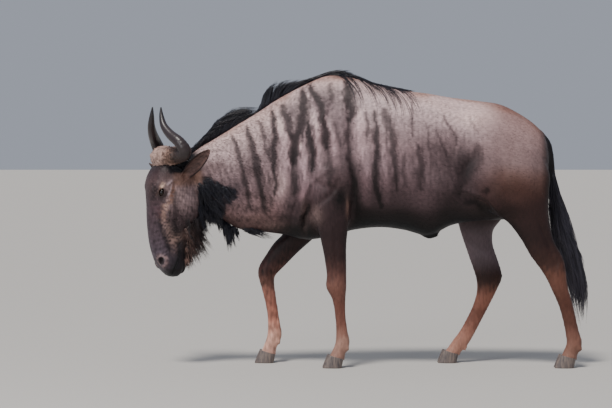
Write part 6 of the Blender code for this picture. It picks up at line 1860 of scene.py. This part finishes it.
def claw(leg, side):
    """A D-shaped sole lofted up to the sloping coronet; the sole's edge is
    rounded over 3 mm and fine ripples run round the wall."""
    front_x, y = numbers(leg)[-1][[0, 5]]
    toe_x = front_x - CLAW_REACH
    t = turns(CLAW_SIDES)
    share = np.concatenate([[0.0, 0.012, 0.05], np.linspace(0.10, 1.0, 26), [1.0]])[:, None]
    inset = np.concatenate([[0.0028, 0.0010, 0.0], np.zeros(26), [0.0030]])[:, None]
    ripple = 0.00035 * np.sin(share * 60.0 + 0.5 * np.sin(2 * t))
    bulge = np.where(np.cos(t) < 0, 1.0, 0.82)
    length = CLAW_LENGTH + share * (CLAW_TOP_LENGTH - CLAW_LENGTH)
    width = CLAW_WIDTH * (1.0 - 0.06 * share)
    middle_x = toe_x + CLAW_LENGTH / 2 + share * 0.016
    x = middle_x + np.sign(np.cos(t)) * np.abs(np.cos(t)) ** 0.9 * (length / 2 * bulge - inset + ripple)
    across = np.sin(t) * (width / 2 - inset + ripple) * (1 + 0.18 * np.cos(t))
    rings = np.stack([x, y + side * CLAW_SPACING / 2 + across, share * foot_plane(x, leg)], axis=-1)
    return tubes(rings[None])


def hoof_material():
    """Grey-blue hoof with paler streaks down it."""
    made, nodes, shader = node_tree("hoof")
    noise = drawn_out_noise(nodes, (160, 160, 22), Detail=4.0)
    colour = colour_ramp(nodes, (0.32, 74, 68, 70), (0.70, 126, 112, 104))
    feed(noise, "Fac", colour, "Fac")
    feed(colour, "Color", shader, "Base Color")
    bump = new_node(nodes, "Bump", Strength=0.3, Distance=0.001)
    feed(noise, "Fac", bump, "Height")
    feed(bump, "Normal", shader, "Normal")
    set_sockets(shader, Roughness=0.5)
    return made


HOOF_LOOK = hoof_material()
FEET = ("forehoof_left", "forehoof_right", "hindhoof_left", "hindhoof_right")
for leg, foot in zip(LEGS, FEET):
    for side, letter in ((-1, "a"), (1, "b")):
        points, faces = claw(leg, side)
        name = foot.replace("_", " ") + " " + letter
        hoof = finished(name, outward(surface(name, points + HOME, faces)), HOOF_LOOK)
        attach(hoof, "root")
        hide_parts(foot + "_" + letter)

# A plain pale floor, soft studio light from above and the left, and a long
# lens level with the belly, as the photo was taken.
SKY_STRENGTH = 0.42
SUN_STRENGTH = 3.1
LAMP_AIM = Vector((0.0, 0.0, 0.8))
FLOOR_REACH = 30
AIM = Vector((-0.277, 0.0, 0.753))
DISTANCE = 12.0
VIEW_WIDTH = 2.846
CAMERA_TILT = math.radians(2.5)
floor_mesh = bpy.data.meshes.new("floor")
corners = [(x * FLOOR_REACH, y * FLOOR_REACH, 0) for x, y in ((-1, -1), (1, -1), (1, 1), (-1, 1))]
floor_mesh.from_pydata(corners, [], [(0, 1, 2, 3)])
floor = placed("floor", floor_mesh)
floor_look, _, shader = node_tree("pale floor")
set_sockets(shader, Base_Color=(0.52, 0.50, 0.47, 1.0), Roughness=0.9)
floor_mesh.materials.append(floor_look)

sky = bpy.data.worlds.new("studio")
sky.use_nodes = True
set_sockets(sky.node_tree.nodes["Background"], Color=(0.80, 0.86, 1.0, 1.0), Strength=SKY_STRENGTH)
bpy.context.scene.world = sky


def lamp(name, place, size, power, colour):
    """A square soft light that looks at the middle of the body."""
    light = bpy.data.lights.new(name, "AREA")
    light.size = size
    light.energy = power
    light.color = colour
    made = placed(name, light)
    made.location = place
    made.rotation_euler = (LAMP_AIM - Vector(place)).to_track_quat("-Z", "Y").to_euler()
    return made


sun = bpy.data.lights.new("soft sun", "SUN")
sun.energy = SUN_STRENGTH
sun.angle = math.radians(14.0)
sun.color = (1.0, 0.955, 0.90)
high = placed("soft sun", sun)
high.rotation_euler = (math.radians(26.0), math.radians(-14.0), 0.0)
lamp("front light", (-3.6, -4.6, 2.6), 2.2, 90.0, (0.95, 0.97, 1.0))

lens = bpy.data.cameras.new("long lens")
lens.sensor_width = 36.0
lens.lens = lens.sensor_width * DISTANCE / VIEW_WIDTH
lens.clip_end = 100.0
camera = placed("camera", lens)
camera.location = AIM + Vector((0.0, -math.cos(CAMERA_TILT), math.sin(CAMERA_TILT))) * DISTANCE
camera.rotation_euler = (math.radians(90.0) - CAMERA_TILT, 0.0, 0.0)
bpy.context.scene.camera = camera
